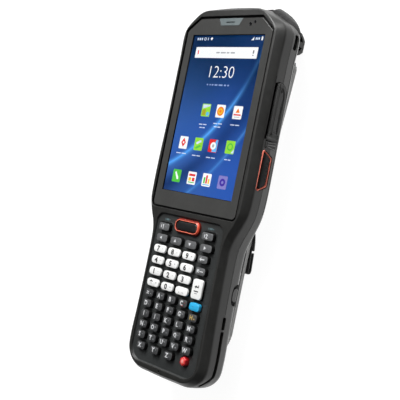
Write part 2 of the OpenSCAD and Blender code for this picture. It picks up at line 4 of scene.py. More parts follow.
import bmesh
import bpy
import numpy as np
from mathutils import Matrix, Vector
from mathutils.bvhtree import BVHTree

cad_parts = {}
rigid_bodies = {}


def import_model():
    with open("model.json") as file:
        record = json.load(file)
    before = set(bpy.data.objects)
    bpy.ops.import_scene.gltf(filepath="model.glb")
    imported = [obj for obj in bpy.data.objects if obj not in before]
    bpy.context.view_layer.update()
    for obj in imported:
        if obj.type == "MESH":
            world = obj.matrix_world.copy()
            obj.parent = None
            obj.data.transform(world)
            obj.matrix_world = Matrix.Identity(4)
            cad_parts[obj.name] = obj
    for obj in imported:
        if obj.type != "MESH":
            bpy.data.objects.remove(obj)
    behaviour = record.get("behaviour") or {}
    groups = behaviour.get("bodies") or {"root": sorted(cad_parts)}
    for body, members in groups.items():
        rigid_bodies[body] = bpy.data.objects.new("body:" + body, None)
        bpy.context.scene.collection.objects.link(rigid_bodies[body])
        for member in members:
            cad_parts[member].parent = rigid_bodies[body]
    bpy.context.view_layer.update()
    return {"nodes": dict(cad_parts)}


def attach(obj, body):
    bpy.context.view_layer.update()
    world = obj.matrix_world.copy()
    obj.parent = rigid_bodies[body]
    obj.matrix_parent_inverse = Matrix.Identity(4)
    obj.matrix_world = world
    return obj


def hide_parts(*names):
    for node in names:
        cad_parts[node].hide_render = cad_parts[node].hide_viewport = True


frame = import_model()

SC = bpy.context.scene
NODES = frame["nodes"]

# ---------------------------------------------------------------- placing
# Pieces are drawn in the terminal's own frame in mm (X right, Y to the scan window,
# Z out of the display) and placed on their back as the CAD is.
LEAN = math.radians(1.604)
SHIFT_Y, LIFT = 38.89, 34.655
PLACE = Matrix.Scale(0.001, 4) @ Matrix.Translation((0, SHIFT_Y, LIFT)) @ Matrix.Rotation(LEAN, 4, 'X')

# ---------------------------------------------------------------- camera
ROT = Vector((-0.08933641, -0.77124856, -0.1868093))
RM = Matrix.Rotation(ROT.length, 3, ROT.normalized())
TV = Vector((6.36354529, 45.15961916, -427.57094117))
CAM_D = -(RM.transposed() @ TV)
cam_data = bpy.data.cameras.new("camera")
cam_data.sensor_width = 36
cam_data.lens = 806.977 * 36 / 400
cam_data.clip_start = 0.01
cam_data.dof.use_dof = False
cam = bpy.data.objects.new("camera", cam_data)
SC.collection.objects.link(cam)
cam.matrix_world = Matrix.Translation(PLACE @ CAM_D) @ (Matrix.Rotation(LEAN, 4, 'X') @ RM.transposed().to_4x4())
SC.camera = cam


# ---------------------------------------------------------------- mesh helpers
def unit2(v):
    n = math.hypot(v[0], v[1])
    return (v[0] / n, v[1] / n)


def rpoly(pts, r, seg=5):
    """Polygon with rounded corners. r is one radius or one per corner."""
    n = len(pts)
    rs = r if isinstance(r, (list, tuple)) else [r] * n
    out = []
    for i in range(n):
        p0, p1, p2 = pts[i - 1], pts[i], pts[(i + 1) % n]
        a = (p0[0] - p1[0], p0[1] - p1[1]); b = (p2[0] - p1[0], p2[1] - p1[1])
        la, lb = math.hypot(*a), math.hypot(*b)
        ua, ub = (a[0] / la, a[1] / la), (b[0] / lb, b[1] / lb)
        cosang = max(-1, min(1, ua[0] * ub[0] + ua[1] * ub[1]))
        ang = math.acos(cosang)
        if rs[i] <= 1e-6 or abs(math.pi - ang) < 1e-3:
            out.append(p1); continue
        d = min(rs[i] / math.tan(ang / 2), 0.48 * la, 0.48 * lb)
        q0 = (p1[0] + ua[0] * d, p1[1] + ua[1] * d); q2 = (p1[0] + ub[0] * d, p1[1] + ub[1] * d)
        w = math.sin(ang / 2)
        for k in range(seg + 1):
            s = k / seg
            c0, c1, c2 = (1 - s) ** 2, 2 * w * s * (1 - s), s * s
            t = c0 + c1 + c2
            out.append(((c0 * q0[0] + c1 * p1[0] + c2 * q2[0]) / t, (c0 * q0[1] + c1 * p1[1] + c2 * q2[1]) / t))
    return out


def rrect(cx, cy, w, h, r, seg=5):
    return rpoly([(cx + w / 2, cy + h / 2), (cx - w / 2, cy + h / 2), (cx - w / 2, cy - h / 2), (cx + w / 2, cy - h / 2)], r, seg)


def bowed(cx, cy, w, h, r, bow, seg=5, bow_x=0.0):
    """Rounded rectangle with long edges that bulge."""
    pts = []
    for x, y in rrect(0, 0, w, h, r, seg):
        pts.append((x, y))
    # extra points along the edges, then the bulge
    fine = []
    n = len(pts)
    for i in range(n):
        p, q = pts[i], pts[(i + 1) % n]
        L = math.hypot(q[0] - p[0], q[1] - p[1])
        m = max(1, int(L / (w / 10)))
        m = min(m, 8)
        for k in range(m):
            fine.append((p[0] + (q[0] - p[0]) * k / m, p[1] + (q[1] - p[1]) * k / m))
    out = []
    for x, y in fine:
        out.append((cx + x * (1 + bow_x * (1 - (2 * y / h) ** 2) / w), cy + y * (1 + 2 * bow / h * (1 - (2 * x / w) ** 2))))
    return out


def area2(p):
    return 0.5 * sum(p[i - 1][0] * p[i][1] - p[i][0] * p[i - 1][1] for i in range(len(p)))


def inset_poly(p, d):
    """Moves every point of a closed outline inwards by d."""
    P = np.asarray(p, float)[:, :2]
    s = 1.0 if area2([tuple(x) for x in P]) > 0 else -1.0
    e0 = P - np.roll(P, 1, 0); e1 = np.roll(P, -1, 0) - P
    l0 = np.linalg.norm(e0, axis=1, keepdims=True); l1 = np.linalg.norm(e1, axis=1, keepdims=True)
    n0 = np.c_[-e0[:, 1:2] / np.maximum(l0, 1e-9), e0[:, 0:1] / np.maximum(l0, 1e-9)] * s
    n1 = np.c_[-e1[:, 1:2] / np.maximum(l1, 1e-9), e1[:, 0:1] / np.maximum(l1, 1e-9)] * s
    m = n0 + n1
    lm = np.linalg.norm(m, axis=1, keepdims=True)
    m = m / np.maximum(lm, 1e-9)
    c = np.clip((m * n0).sum(1, keepdims=True), 0.5, 1)
    return P + m * d / c


class Soup:
    """Vertices and faces gathered from several closed shells."""
    def __init__(self):
        self.v, self.f = [], []

    def rings(self, rings, cap0=True, cap1=True, strip=False):
        """Closed skin through rings of equal length."""
        n = len(rings[0]); b = len(self.v)
        for r in rings:
            self.v.extend([tuple(float(c) for c in p) for p in r])
        for j in range(len(rings) - 1):
            for i in range(n):
                k = (i + 1) % n
                self.f.append((b + j * n + i, b + j * n + k, b + (j + 1) * n + k, b + (j + 1) * n + i))
        last = b + (len(rings) - 1) * n
        if cap0:
            self.f.append(tuple(b + i for i in reversed(range(n))))
        if cap1:
            self.f.append(tuple(last + i for i in range(n)))
        return b, last, n

    def prism(self, poly, z0, z1):
        self.rings([[(x, y, z0) for x, y in poly], [(x, y, z1) for x, y in poly]])

    def prism_x(self, poly_yz, x0, x1):
        self.rings([[(x0, y, z) for y, z in poly_yz], [(x1, y, z) for y, z in poly_yz]])

    def prism_y(self, poly_xz, y0, y1):
        self.rings([[(x, y0, z) for x, z in poly_xz], [(x, y1, z) for x, z in poly_xz]])

    def box(self, lo, hi):
        self.prism([(lo[0], lo[1]), (hi[0], lo[1]), (hi[0], hi[1]), (lo[0], hi[1])], lo[2], hi[2])

    def profile(self, poly, prof):
        """Outline carried through (inset, z) pairs."""
        self.rings([[(x, y, z) for x, y in inset_poly(poly, d)] for d, z in prof])


def mesh_from(soup, name="tmp"):
    me = bpy.data.meshes.new(name)
    me.from_pydata(soup.v, [], soup.f)
    me.validate(clean_customdata=False)
    bm = bmesh.new(); bm.from_mesh(me)
    bmesh.ops.recalc_face_normals(bm, faces=bm.faces)
    bm.to_mesh(me); bm.free()
    me.update()
    return me


def obj_from(me, name):
    ob = bpy.data.objects.new(name, me)
    SC.collection.objects.link(ob)
    return ob


def boolean(ob, cutter_soup, op='DIFFERENCE', solver='MANIFOLD'):
    """Applies a boolean with a soup of closed shells."""
    cm = mesh_from(cutter_soup, "cutter")
    co = obj_from(cm, "cutter")
    md = ob.modifiers.new("b", 'BOOLEAN')
    md.operation = op; md.object = co; md.solver = solver
    dg = bpy.context.evaluated_depsgraph_get()
    dg.update()
    new = bpy.data.meshes.new_from_object(ob.evaluated_get(dg))
    old = ob.data
    ob.modifiers.clear()
    ob.data = new
    bpy.data.objects.remove(co); bpy.data.meshes.remove(cm)
    if old.users == 0:
        bpy.data.meshes.remove(old)
    return ob


def finish_piece(ob, name, mats, body, slot, replaces=(), sharp=32, pick=None, placed=False, merge=True):
    """Tidies a piece, gives it its materials and hangs it on its body. pick(face centre, normal) gives the material index."""
    me = ob.data
    if merge:
        bm = bmesh.new(); bm.from_mesh(me)
        bmesh.ops.remove_doubles(bm, verts=bm.verts, dist=1e-4)
        bmesh.ops.dissolve_degenerate(bm, edges=bm.edges, dist=1e-5)
        bm.to_mesh(me); bm.free()
    me.materials.clear()
    for m in (mats if isinstance(mats, (list, tuple)) else [mats]):
        me.materials.append(m)
    if pick:
        for p in me.polygons:
            p.material_index = pick(p.center, p.normal)
    me.shade_smooth()
    me.set_sharp_from_angle(angle=math.radians(sharp))
    if not placed:
        me.transform(PLACE)
    me.update()
    me.name = name; ob.name = name
    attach(ob, body)
    if replaces:
        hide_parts(*replaces)
    return ob


def piece(name, soup, mats, body, slot, **kw):
    return finish_piece(obj_from(mesh_from(soup, name), name), name, mats, body, slot, **kw)


# ---------------------------------------------------------------- material helpers
class E:
    """A number or a socket, with arithmetic made of math nodes."""
    def __init__(self, nt, v):
        self.nt, self.v = nt, v

    def op(self, name, *others):
        n = self.nt.nodes.new('ShaderNodeMath'); n.operation = name
        for i, o in enumerate((self,) + others):
            o = o.v if isinstance(o, E) else o
            if isinstance(o, (int, float)):
                n.inputs[i].default_value = o
            else:
                self.nt.links.new(o, n.inputs[i])
        return E(self.nt, n.outputs[0])

    def __add__(s, o): return s.op('ADD', o)
    def __sub__(s, o): return s.op('SUBTRACT', o)
    def __rsub__(s, o): return E(s.nt, o).op('SUBTRACT', s)
    def __mul__(s, o): return s.op('MULTIPLY', o)
    __radd__ = __add__
    __rmul__ = __mul__
    def __truediv__(s, o): return s.op('DIVIDE', o)
    def pow(s, o): return s.op('POWER', o)
    def abs(s): return s.op('ABSOLUTE')
    def max(s, o): return s.op('MAXIMUM', o)
    def min(s, o): return s.op('MINIMUM', o)
    def sin(s): return s.op('SINE')
    def exp(s): return s.op('EXPONENT')

    def ramp01(s, lo, hi, a=0.0, b=1.0, smooth=True):
        n = s.nt.nodes.new('ShaderNodeMapRange')
        n.interpolation_type = 'SMOOTHSTEP' if smooth else 'LINEAR'
        s.nt.links.new(s.v, n.inputs['Value'])
        n.inputs['From Min'].default_value = lo; n.inputs['From Max'].default_value = hi
        n.inputs['To Min'].default_value = a; n.inputs['To Max'].default_value = b
        return E(s.nt, n.outputs[0])


class Mat:
    def __init__(self, name, **sockets):
        self.m = bpy.data.materials.new(name)
        self.m.use_nodes = True
        self.nt = self.m.node_tree
        self.p = self.nt.nodes['Principled BSDF']
        for k, v in sockets.items():
            self.p.inputs[k.replace('_', ' ')].default_value = v
        self._co = {}

    def n(self, kind):
        return self.nt.nodes.new(kind)

    def link(self, a, b):
        self.nt.links.new(a.v if isinstance(a, E) else a, b)

    def coord(self, kind='Object', scale=(1000, 1000, 1000), rot=(0, 0, 0)):
        key = (kind, scale, rot)
        if key not in self._co:
            tc = self.n('ShaderNodeTexCoord'); mp = self.n('ShaderNodeMapping')
            mp.inputs['Scale'].default_value = scale
            mp.inputs['Rotation'].default_value = rot
            self.nt.links.new(tc.outputs[kind], mp.inputs['Vector'])
            self._co[key] = mp.outputs[0]
        return self._co[key]

    def xyz(self, **kw):
        s = self.n('ShaderNodeSeparateXYZ')
        self.nt.links.new(self.coord(**kw), s.inputs[0])
        return [E(self.nt, o) for o in s.outputs]

    def noise(self, scale, detail=3, rough=0.55, vec=None, distort=0.0, w=None):
        t = self.n('ShaderNodeTexNoise')
        t.inputs['Scale'].default_value = scale; t.inputs['Detail'].default_value = detail
        t.inputs['Roughness'].default_value = rough; t.inputs['Distortion'].default_value = distort
        self.nt.links.new(vec or self.coord(), t.inputs['Vector'])
        return E(self.nt, t.outputs['Fac'])

    def voronoi(self, scale, feature='F1', vec=None, rand=1.0, out='Distance'):
        t = self.n('ShaderNodeTexVoronoi'); t.feature = feature
        t.inputs['Scale'].default_value = scale; t.inputs['Randomness'].default_value = rand
        self.nt.links.new(vec or self.coord(), t.inputs['Vector'])
        return E(self.nt, t.outputs[out])

    def mixc(self, fac, a, b):
        m = self.n('ShaderNodeMix'); m.data_type = 'RGBA'
        fs, As, Bs, out = m.inputs[0], m.inputs[6], m.inputs[7], m.outputs[2]
        for sock, x in ((fs, fac), (As, a), (Bs, b)):
            x = x.v if isinstance(x, E) else x
            if isinstance(x, (int, float)):
                sock.default_value = x
            elif isinstance(x, (tuple, list)):
                sock.default_value = (*x[:3], 1)
            else:
                self.nt.links.new(x, sock)
        return out

    def addc(self, a, b, fac=1.0):
        m = self.n('ShaderNodeMix'); m.data_type = 'RGBA'; m.blend_type = 'ADD'
        m.inputs[0].default_value = 1.0
        f = fac.v if isinstance(fac, E) else fac
        if isinstance(f, (int, float)):
            m.inputs[0].default_value = f
        else:
            self.nt.links.new(f, m.inputs[0])
        for sock, x in ((m.inputs[6], a), (m.inputs[7], b)):
            if isinstance(x, (tuple, list)):
                sock.default_value = (*x[:3], 1)
            else:
                self.nt.links.new(x, sock)
        return m.outputs[2]

    def bevel(self, radius_mm, samples=4):
        b = self.n('ShaderNodeBevel'); b.samples = samples
        b.inputs['Radius'].default_value = radius_mm / 1000
        return b.outputs[0]

    def edge_mask(self, bevel_out, lo=0.02, hi=0.25):
        g = self.n('ShaderNodeNewGeometry')
        d = self.n('ShaderNodeVectorMath'); d.operation = 'DOT_PRODUCT'
        self.nt.links.new(bevel_out, d.inputs[0]); self.nt.links.new(g.outputs['Normal'], d.inputs[1])
        return (1.0 - E(self.nt, d.outputs['Value'])).ramp01(lo, hi)

    def bump(self, layers, normal=None):
        """layers: (height, distance in mm, strength)."""
        for h, dist, st in layers:
            b = self.n('ShaderNodeBump')
            b.inputs['Distance'].default_value = dist / 1000; b.inputs['Strength'].default_value = st
            self.link(h, b.inputs['Height'])
            if normal is not None:
                self.nt.links.new(normal, b.inputs['Normal'])
            normal = b.outputs[0]
        self.nt.links.new(normal, self.p.inputs['Normal'])
        return self

    def base(self, sock):
        self.link(sock, self.p.inputs['Base Color']); return self

    def rough(self, sock):
        self.link(sock, self.p.inputs['Roughness']); return self


def plastic(name, col, light, rough=0.5, grain=3.2, grain_h=0.03, grain_s=0.35, bevel=0.3, wear=(0.10, 0.10, 0.095), wear_amt=0.55,
            coat=0.0, coat_rough=0.2, spec=0.5, rvar=0.16, dust=0.35):
    """Moulded plastic: fine spark texture, uneven sheen, rubbed edges and a trace of dust."""
    M = Mat(name, Specular_IOR_Level=spec, Coat_Weight=coat, Coat_Roughness=coat_rough)
    fine = M.noise(grain, 2, 0.6)
    cells = M.voronoi(grain * 0.8)
    big = M.noise(0.045, 4, 0.6)
    mid = M.noise(0.35, 4, 0.65)
    bv = M.bevel(bevel)
    edge = M.edge_mask(bv)
    c = M.mixc(big.ramp01(0.35, 0.7) * 0.6 + mid.ramp01(0.4, 0.75) * 0.4, col, light)
    c = M.mixc((edge * mid.ramp01(0.3, 0.62)) * wear_amt, c, wear)
    c = M.mixc((M.noise(1.7, 5, 0.7).ramp01(0.60, 0.78) * big.ramp01(0.42, 0.66)) * dust, c, tuple(min(1, x * 2.2 + 0.015) for x in light))
    M.base(c)
    M.rough(fine * 0.06 + mid * rvar + big * (rvar * 0.7) + (rough - 0.85 * rvar - 0.03))
    M.bump([(cells * 0.5 + fine * 0.5, grain_h, grain_s), (mid, 0.05, 0.06)], bv)
    return M.m


# ---------------------------------------------------------------- materials
HOUSING = plastic("housing_grey", (0.0135, 0.0135, 0.0125), (0.020, 0.020, 0.0188), rough=0.42, wear=(0.05, 0.05, 0.047), spec=0.55)
HOUSING_DARK = plastic("housing_dark", (0.021, 0.021, 0.0198), (0.030, 0.030, 0.0285), rough=0.36, spec=0.8, grain=2.2, grain_h=0.04, grain_s=0.35, wear=(0.075, 0.075, 0.07))
PANEL = plastic("keypad_panel", (0.0215, 0.0235, 0.0235), (0.030, 0.0325, 0.0325), rough=0.46, grain=4.0, grain_h=0.02, wear=(0.03, 0.03, 0.03), wear_amt=0.3, dust=0.25)
# near-black colour used as painted shade: it darkens the seat of the glass, the gap along the socket cover's front edge
# and the floor of the finger scoops, where those hollows lie in shadow
PAINTED_SHADE_BLACK = plastic("painted_shade_black", (0.0035, 0.0035, 0.0035), (0.006, 0.006, 0.006), rough=0.7, grain=4.0, grain_h=0.02, wear=(0.02, 0.02, 0.02), wear_amt=0.2, dust=0.2, spec=0.2)
SIDE_KEY = plastic("side_key_black", (0.0075, 0.0078, 0.0078), (0.012, 0.0125, 0.0125), rough=0.55, grain=4.0, grain_h=0.02, wear=(0.03, 0.03, 0.03), wear_amt=0.3, dust=0.2, spec=0.14)
KEY_DARK = plastic("key_dark", (0.046, 0.047, 0.049), (0.060, 0.061, 0.063), rough=0.33, grain=5, grain_h=0.012, grain_s=0.25, bevel=0.18, wear=(0.05, 0.05, 0.05), wear_amt=0.35,
                   coat=0.35, coat_rough=0.25, dust=0.15)
KEY_GREY = plastic("key_grey", (0.098, 0.100, 0.103), (0.122, 0.124, 0.127), rough=0.33, grain=5, grain_h=0.012, grain_s=0.25, bevel=0.18, wear=(0.09, 0.09, 0.09), wear_amt=0.35,
                   coat=0.35, coat_rough=0.25, dust=0.15)
SCAN_KEY = plastic("scan_key_dark", (0.0075, 0.0078, 0.0082), (0.012, 0.0125, 0.013), rough=0.36, grain=5, grain_h=0.012, grain_s=0.25, bevel=0.18, wear=(0.04, 0.04, 0.04), wear_amt=0.3,
                   coat=0.2, coat_rough=0.25, dust=0.12)
# near-black colour for the walls of the key caps: painted shade for key walls that lie in shadow between the keys, also
# on the white and blue keys
KEY_WALL_PAINTED_SHADE = plastic("key_skirt_black", (0.0040, 0.0042, 0.0042), (0.0065, 0.0067, 0.0068), rough=0.55, grain=5, grain_h=0.012, bevel=0.15, wear=(0.015, 0.015, 0.015), wear_amt=0.2, dust=0.1, spec=0.3)
# lighter coral copy of the power key's red, laid on its crown as a painted highlight
KEY_RED_PAINTED_HIGHLIGHT = plastic("key_coral", (0.72, 0.085, 0.060), (0.80, 0.12, 0.085), rough=0.34, grain=5, grain_h=0.01, bevel=0.18, wear=(0.85, 0.2, 0.16), wear_amt=0.3, coat=0.3, dust=0.0)
# lit and shaded copies of the ring's orange: a deep red as painted shade on the ring's walls and a light coral as
# painted highlight on its crest
RING_WALL_PAINTED_SHADE = plastic("ring_wall_painted_shade", (0.17, 0.012, 0.006), (0.23, 0.018, 0.009), rough=0.42, grain=4, grain_h=0.012, bevel=0.12, wear=(0.30, 0.03, 0.015), wear_amt=0.15, dust=0.0)
RING_CREST_PAINTED_HIGHLIGHT = plastic("ring_crest_painted_highlight", (0.82, 0.17, 0.10), (0.88, 0.22, 0.14), rough=0.36, grain=4, grain_h=0.012, bevel=0.15, wear=(0.9, 0.35, 0.25), wear_amt=0.4, coat=0.2, dust=0.0)
RING_SIDE = plastic("ring_orange_side", (0.90, 0.19, 0.12), (0.96, 0.25, 0.17), rough=0.36, grain=4, grain_h=0.012, bevel=0.15, wear=(0.9, 0.3, 0.2), wear_amt=0.4, coat=0.2, dust=0.0)
HOUSING_SLOPE = plastic("housing_slope", (0.021, 0.021, 0.0198), (0.030, 0.030, 0.0285), rough=0.17, spec=0.9, rvar=0.05, grain=2.2, grain_h=0.008, grain_s=0.12, wear=(0.075, 0.075, 0.07), wear_amt=0.3)
KEY_WHITE = plastic("key_white", (0.80, 0.80, 0.785), (0.87, 0.87, 0.86), rough=0.36, grain=5, grain_h=0.01, grain_s=0.2, bevel=0.18, wear=(0.60, 0.60, 0.58), wear_amt=0.3, coat=0.3, coat_rough=0.2, dust=0.0)
KEY_BLUE = plastic("key_blue", (0.022, 0.36, 0.66), (0.035, 0.43, 0.74), rough=0.34, grain=5, grain_h=0.01, bevel=0.18, wear=(0.10, 0.55, 0.8), wear_amt=0.3, coat=0.3, dust=0.0)
KEY_RED = plastic("key_red", (0.55, 0.012, 0.018), (0.66, 0.022, 0.028), rough=0.34, grain=5, grain_h=0.01, bevel=0.18, wear=(0.8, 0.1, 0.1), wear_amt=0.3, coat=0.3, dust=0.0)
ORANGE = plastic("ring_orange", (0.78, 0.085, 0.038), (0.85, 0.11, 0.055), rough=0.36, grain=4, grain_h=0.012, bevel=0.2, wear=(0.9, 0.25, 0.12), wear_amt=0.5, coat=0.25, dust=0.0)
TEAL = plastic("grille_teal", (0.10, 0.125, 0.13), (0.13, 0.155, 0.16), rough=0.5, grain=4, grain_h=0.012, bevel=0.12, wear=(0.2, 0.22, 0.23), dust=0.1)
BLACK = plastic("module_black", (0.010, 0.010, 0.011), (0.016, 0.016, 0.017), rough=0.5, grain=3, wear=(0.05, 0.05, 0.05))
BRACKET = plastic("bracket_black", (0.012, 0.012, 0.012), (0.020, 0.020, 0.020), rough=0.42, grain=3, bevel=0.35, wear=(0.10, 0.10, 0.10), wear_amt=0.7)
BATTERY = plastic("battery_case", (0.014, 0.014, 0.0145), (0.021, 0.021, 0.0215), rough=0.48, grain=2.6, wear=(0.07, 0.07, 0.07))
LATCH = plastic("latch_grey", (0.05, 0.05, 0.053), (0.07, 0.07, 0.073), rough=0.45, grain=3, wear=(0.16, 0.16, 0.16))
PCB = plastic("circuit_board", (0.004, 0.045, 0.016), (0.008, 0.07, 0.026), rough=0.4, grain=1.2, grain_h=0.02, wear=(0.02, 0.12, 0.05), coat=0.4)


def rubber(name, col, light, rough=0.78, ribs=False):
    M = Mat(name, Specular_IOR_Level=0.35, Sheen_Weight=0.12, Sheen_Roughness=0.5)
    bv = M.bevel(0.35)
    edge = M.edge_mask(bv)
    peb = M.voronoi(0.8 if ribs else 1.1, 'SMOOTH_F1')
    fine = M.noise(4.5, 3, 0.6)
    big = M.noise(0.07, 4, 0.6)
    mid = M.noise(0.8, 4, 0.6)
    c = M.mixc(big.ramp01(0.35, 0.7), col, light)
    c = M.mixc(peb.ramp01(0.1, 0.55) * 0.35, c, tuple(x * 1.7 for x in light))
    c = M.mixc(edge * mid.ramp01(0.3, 0.6) * 0.5, c, (0.07, 0.07, 0.068))
    M.base(c)
    M.rough(big * 0.14 + fine * 0.08 + (rough - 0.11))
    M.bump([(peb, 0.30 if ribs else 0.06, 0.9 if ribs else 0.3), (fine, 0.03, 0.3)], bv)
    return M.m


HOOD = rubber("hood_rubber", (0.0075, 0.0075, 0.0075), (0.0135, 0.0135, 0.0135), 0.72, ribs=True)
COVER = rubber("cover_rubber", (0.017, 0.017, 0.0168), (0.026, 0.026, 0.0255), 0.62)
# light grey rubber for the outer faces of the hinge pleats: a painted highlight on the pleat crests
PLEAT_PAINTED_HIGHLIGHT = rubber("pleat_painted_highlight", (0.10, 0.10, 0.098), (0.16, 0.16, 0.157), 0.5)
MATRUB = rubber("mat_rubber", (0.03, 0.03, 0.032), (0.045, 0.045, 0.047), 0.7)


def metal(name, col, rough=0.28, scale=(900, 60, 900), aniso=0.5):
    M = Mat(name, Metallic=1.0, Anisotropic=aniso)
    br = M.noise(3.0, 4, 0.7, vec=M.coord(scale=scale))
    spot = M.noise(0.5, 4, 0.7)
    bv = M.bevel(0.15)
    M.base(M.mixc(spot.ramp01(0.35, 0.75), col, tuple(x * 0.8 for x in col)))
    M.rough(br * 0.22 + spot * 0.14 + (rough - 0.15))
    M.bump([(br, 0.012, 0.4)], bv)
    return M.m


STEEL = metal("metal_bright", (0.58, 0.58, 0.60))
ALLOY = metal("frame_alloy", (0.42, 0.43, 0.45), 0.45, (300, 300, 300), 0.0)
GOLD = metal("contact_gold", (0.83, 0.58, 0.20), 0.25, (400, 400, 60), 0.2)


def fabric(name, col, light, along='Y'):
    """Woven nylon: rows of crossing yarns, stray fibres, and colour darker in the gaps between yarns (painted shade)
    and lighter on their crowns.
    """
    M = Mat(name, Specular_IOR_Level=0.3, Sheen_Weight=0.35, Sheen_Roughness=0.45)
    x, y, z = M.xyz()
    warp = (x * 7.4).sin().abs()
    weft = (y * 5.2 + (x * 3.7).sin().op('SIGN') * 1.57).sin().abs()
    rib = (x * 1.45).sin().abs()
    weave = warp * 0.45 + weft * 0.55
    big = M.noise(0.08, 4, 0.6)
    fuzz = M.noise(5.5, 4, 0.75)
    # colour darker in the gaps between yarns is painted shade; the yarn crowns take the lighter colour
    c = M.mixc(weave.ramp01(0.15, 0.95), tuple(k * 0.5 for k in col), light)
    c = M.mixc(big.ramp01(0.4, 0.75) * 0.35, c, col)
    c = M.mixc(fuzz.ramp01(0.62, 0.8) * 0.3, c, tuple(min(1, k * 3.0) for k in light))
    M.base(c)
    M.rough(fuzz * 0.12 + big * 0.08 + 0.68)
    M.bump([(weave, 0.16, 0.7), (rib, 0.10, 0.25), (fuzz, 0.05, 0.3)])
    return M.m


STRAP = fabric("strap_fabric", (0.012, 0.012, 0.0125), (0.024, 0.024, 0.025))
TAIL = fabric("strap_tail_fabric", (0.024, 0.024, 0.0243), (0.042, 0.042, 0.0425))
# pale grey tape colour, partly painted reflection: it stands in for the bright line of reflected light along the
# strap's edge
BINDING_PALE_PAINTED_REFLECTION = fabric("strap_binding", (0.34, 0.34, 0.335), (0.50, 0.50, 0.49))


def thread(name, col):
    M = Mat(name, Specular_IOR_Level=0.3, Sheen_Weight=0.3)
    t = M.noise(9, 2, 0.6)
    M.base(M.mixc(t, tuple(k * 0.7 for k in col), col))
    M.rough(t * 0.2 + 0.6)
    M.bump([(t, 0.05, 0.5)])
    return M.m


THREAD = thread("thread_grey", (0.045, 0.045, 0.046))


def glossy(name, col, rough=0.08, **kw):
    """Hard polished surface with faint smears and fine scratches."""
    M = Mat(name, Specular_IOR_Level=0.5, **kw)
    sm = M.noise(0.06, 5, 0.65, distort=0.6)
    scr = M.noise(2.2, 3, 0.7, vec=M.coord(scale=(1000, 90, 1000), rot=(0, 0, 0.5)))
    bv = M.bevel(0.12)
    M.base(M.mixc(sm.ramp01(0.4, 0.75) * 0.5, col, tuple(min(1, k * 1.25 + 0.001) for k in col)))
    M.rough(sm.ramp01(0.45, 0.8) * 0.09 + scr.ramp01(0.66, 0.8) * 0.08 + rough)
    M.bump([(scr.ramp01(0.7, 0.85), 0.002, 0.25)], bv)
    return M.m


INK = glossy("glass_border", (0.050, 0.050, 0.0485), 0.16)
LENS = glossy("lens_black", (0.004, 0.004, 0.005), 0.12)
GLOSS_DARK = glossy("gloss_dark", (0.012, 0.012, 0.0125), 0.12)


def clear_glass(name, tint=(1, 1, 1), rough=0.0, ior=1.47):
    M = Mat(name, Transmission_Weight=1.0, IOR=ior, Specular_IOR_Level=0.5)
    sm = M.noise(0.05, 5, 0.7, distort=0.8)
    M.base(M.mixc(sm.ramp01(0.5, 0.9) * 0.3, tint, tuple(k * 0.96 for k in tint)))
    M.rough(sm.ramp01(0.5, 0.85) * 0.012 + rough)
    return M.m


PANE = clear_glass("display_pane", ior=1.13)      # bonded, low-reflection front of the display
RED_PANE = clear_glass("window_pane", (0.22, 0.012, 0.012), 0.02)


def legend_mat(name, col, rough=0.5):
    M = Mat(name, Specular_IOR_Level=0.4)
    t = M.noise(6, 3, 0.7)
    M.base(M.mixc(t.ramp01(0.62, 0.8) * 0.3, col, tuple(k * 0.75 for k in col)))
    M.rough(t * 0.12 + (rough - 0.06))
    return M.m


LEG_WHITE = legend_mat("legend_white", (0.62, 0.63, 0.64))
LEG_DARK = legend_mat("legend_dark", (0.035, 0.035, 0.036))
LEG_GREY = legend_mat("legend_grey", (0.30, 0.31, 0.32))
LEG_TEAL = legend_mat("legend_teal", (0.085, 0.13, 0.14))
LEG_RED = legend_mat("legend_red", (0.55, 0.03, 0.03))
LEG_PINK = legend_mat("legend_pink", (0.80, 0.28, 0.26))
LEG_GREEN = legend_mat("legend_green", (0.05, 0.28, 0.10))
LEG_AMBER = legend_mat("legend_amber", (0.50, 0.34, 0.10))
LEG_BLUE = legend_mat("legend_blue", (0.05, 0.22, 0.42))

# ---------------------------------------------------------------- outlines of the body
RIM, SEAM = 0.7, -8.0
LA = [(12, 56.8), (19.6, 56.6), (23.8, 55.0), (31.3, 47.8), (32.6, 44.5), (32.8, 30), (32.8, 8), (32.9, -10), (33.3, -24), (33.3, -42),
      (32.9, -49), (30.7, -55.5), (28.0, -61), (26.6, -66), (26.1, -73), (26.1, -90), (26.5, -110), (27, -126), (26.2, -132), (23, -136.6),
      (18.5, -139.2), (10, -139.8)]
LB = [(12, 58.6), (17.6, 57.9), (24.4, 54.9), (33.7, 50.2), (36.5, 46.2), (36.6, 30), (36.6, 8), (36.7, -10), (37.2, -24), (37.2, -42),
      (36.4, -49.5), (33.9, -55.8), (30.9, -62), (29.2, -67.5), (29.1, -74), (29.3, -90), (30, -110), (30.7, -126), (29.9, -133), (26.6, -137.6),
      (20, -141.2), (10.5, -141.8)]
LC = [(12.5, 59.6), (17.2, 57.5), (24.8, 53.9), (34.0, 50.1), (37.3, 46), (37.3, 30), (37.3, 8), (37.4, -10), (37.8, -24), (37.8, -42),
      (36.9, -49.5), (34.7, -55.8), (31.9, -62), (30.2, -67.5), (29.8, -74), (29.9, -90), (30.5, -110), (31.1, -126), (30.3, -133), (27, -137.8),
      (20.3, -141.5), (10.5, -142.1)]
LD = [(13, 60.6), (18.6, 58.4), (26.6, 54.3), (33.8, 50.4), (37.5, 46), (37.5, 30), (37.5, 8), (37.6, -10), (37.9, -24), (37.9, -42),
      (37, -49.5), (34.9, -55.8), (32.3, -62), (30.6, -67.5), (30.1, -74), (30.2, -90), (30.8, -110), (31.2, -126), (30.4, -133), (27, -137.8),
      (20.3, -141.5), (10.5, -142.1)]
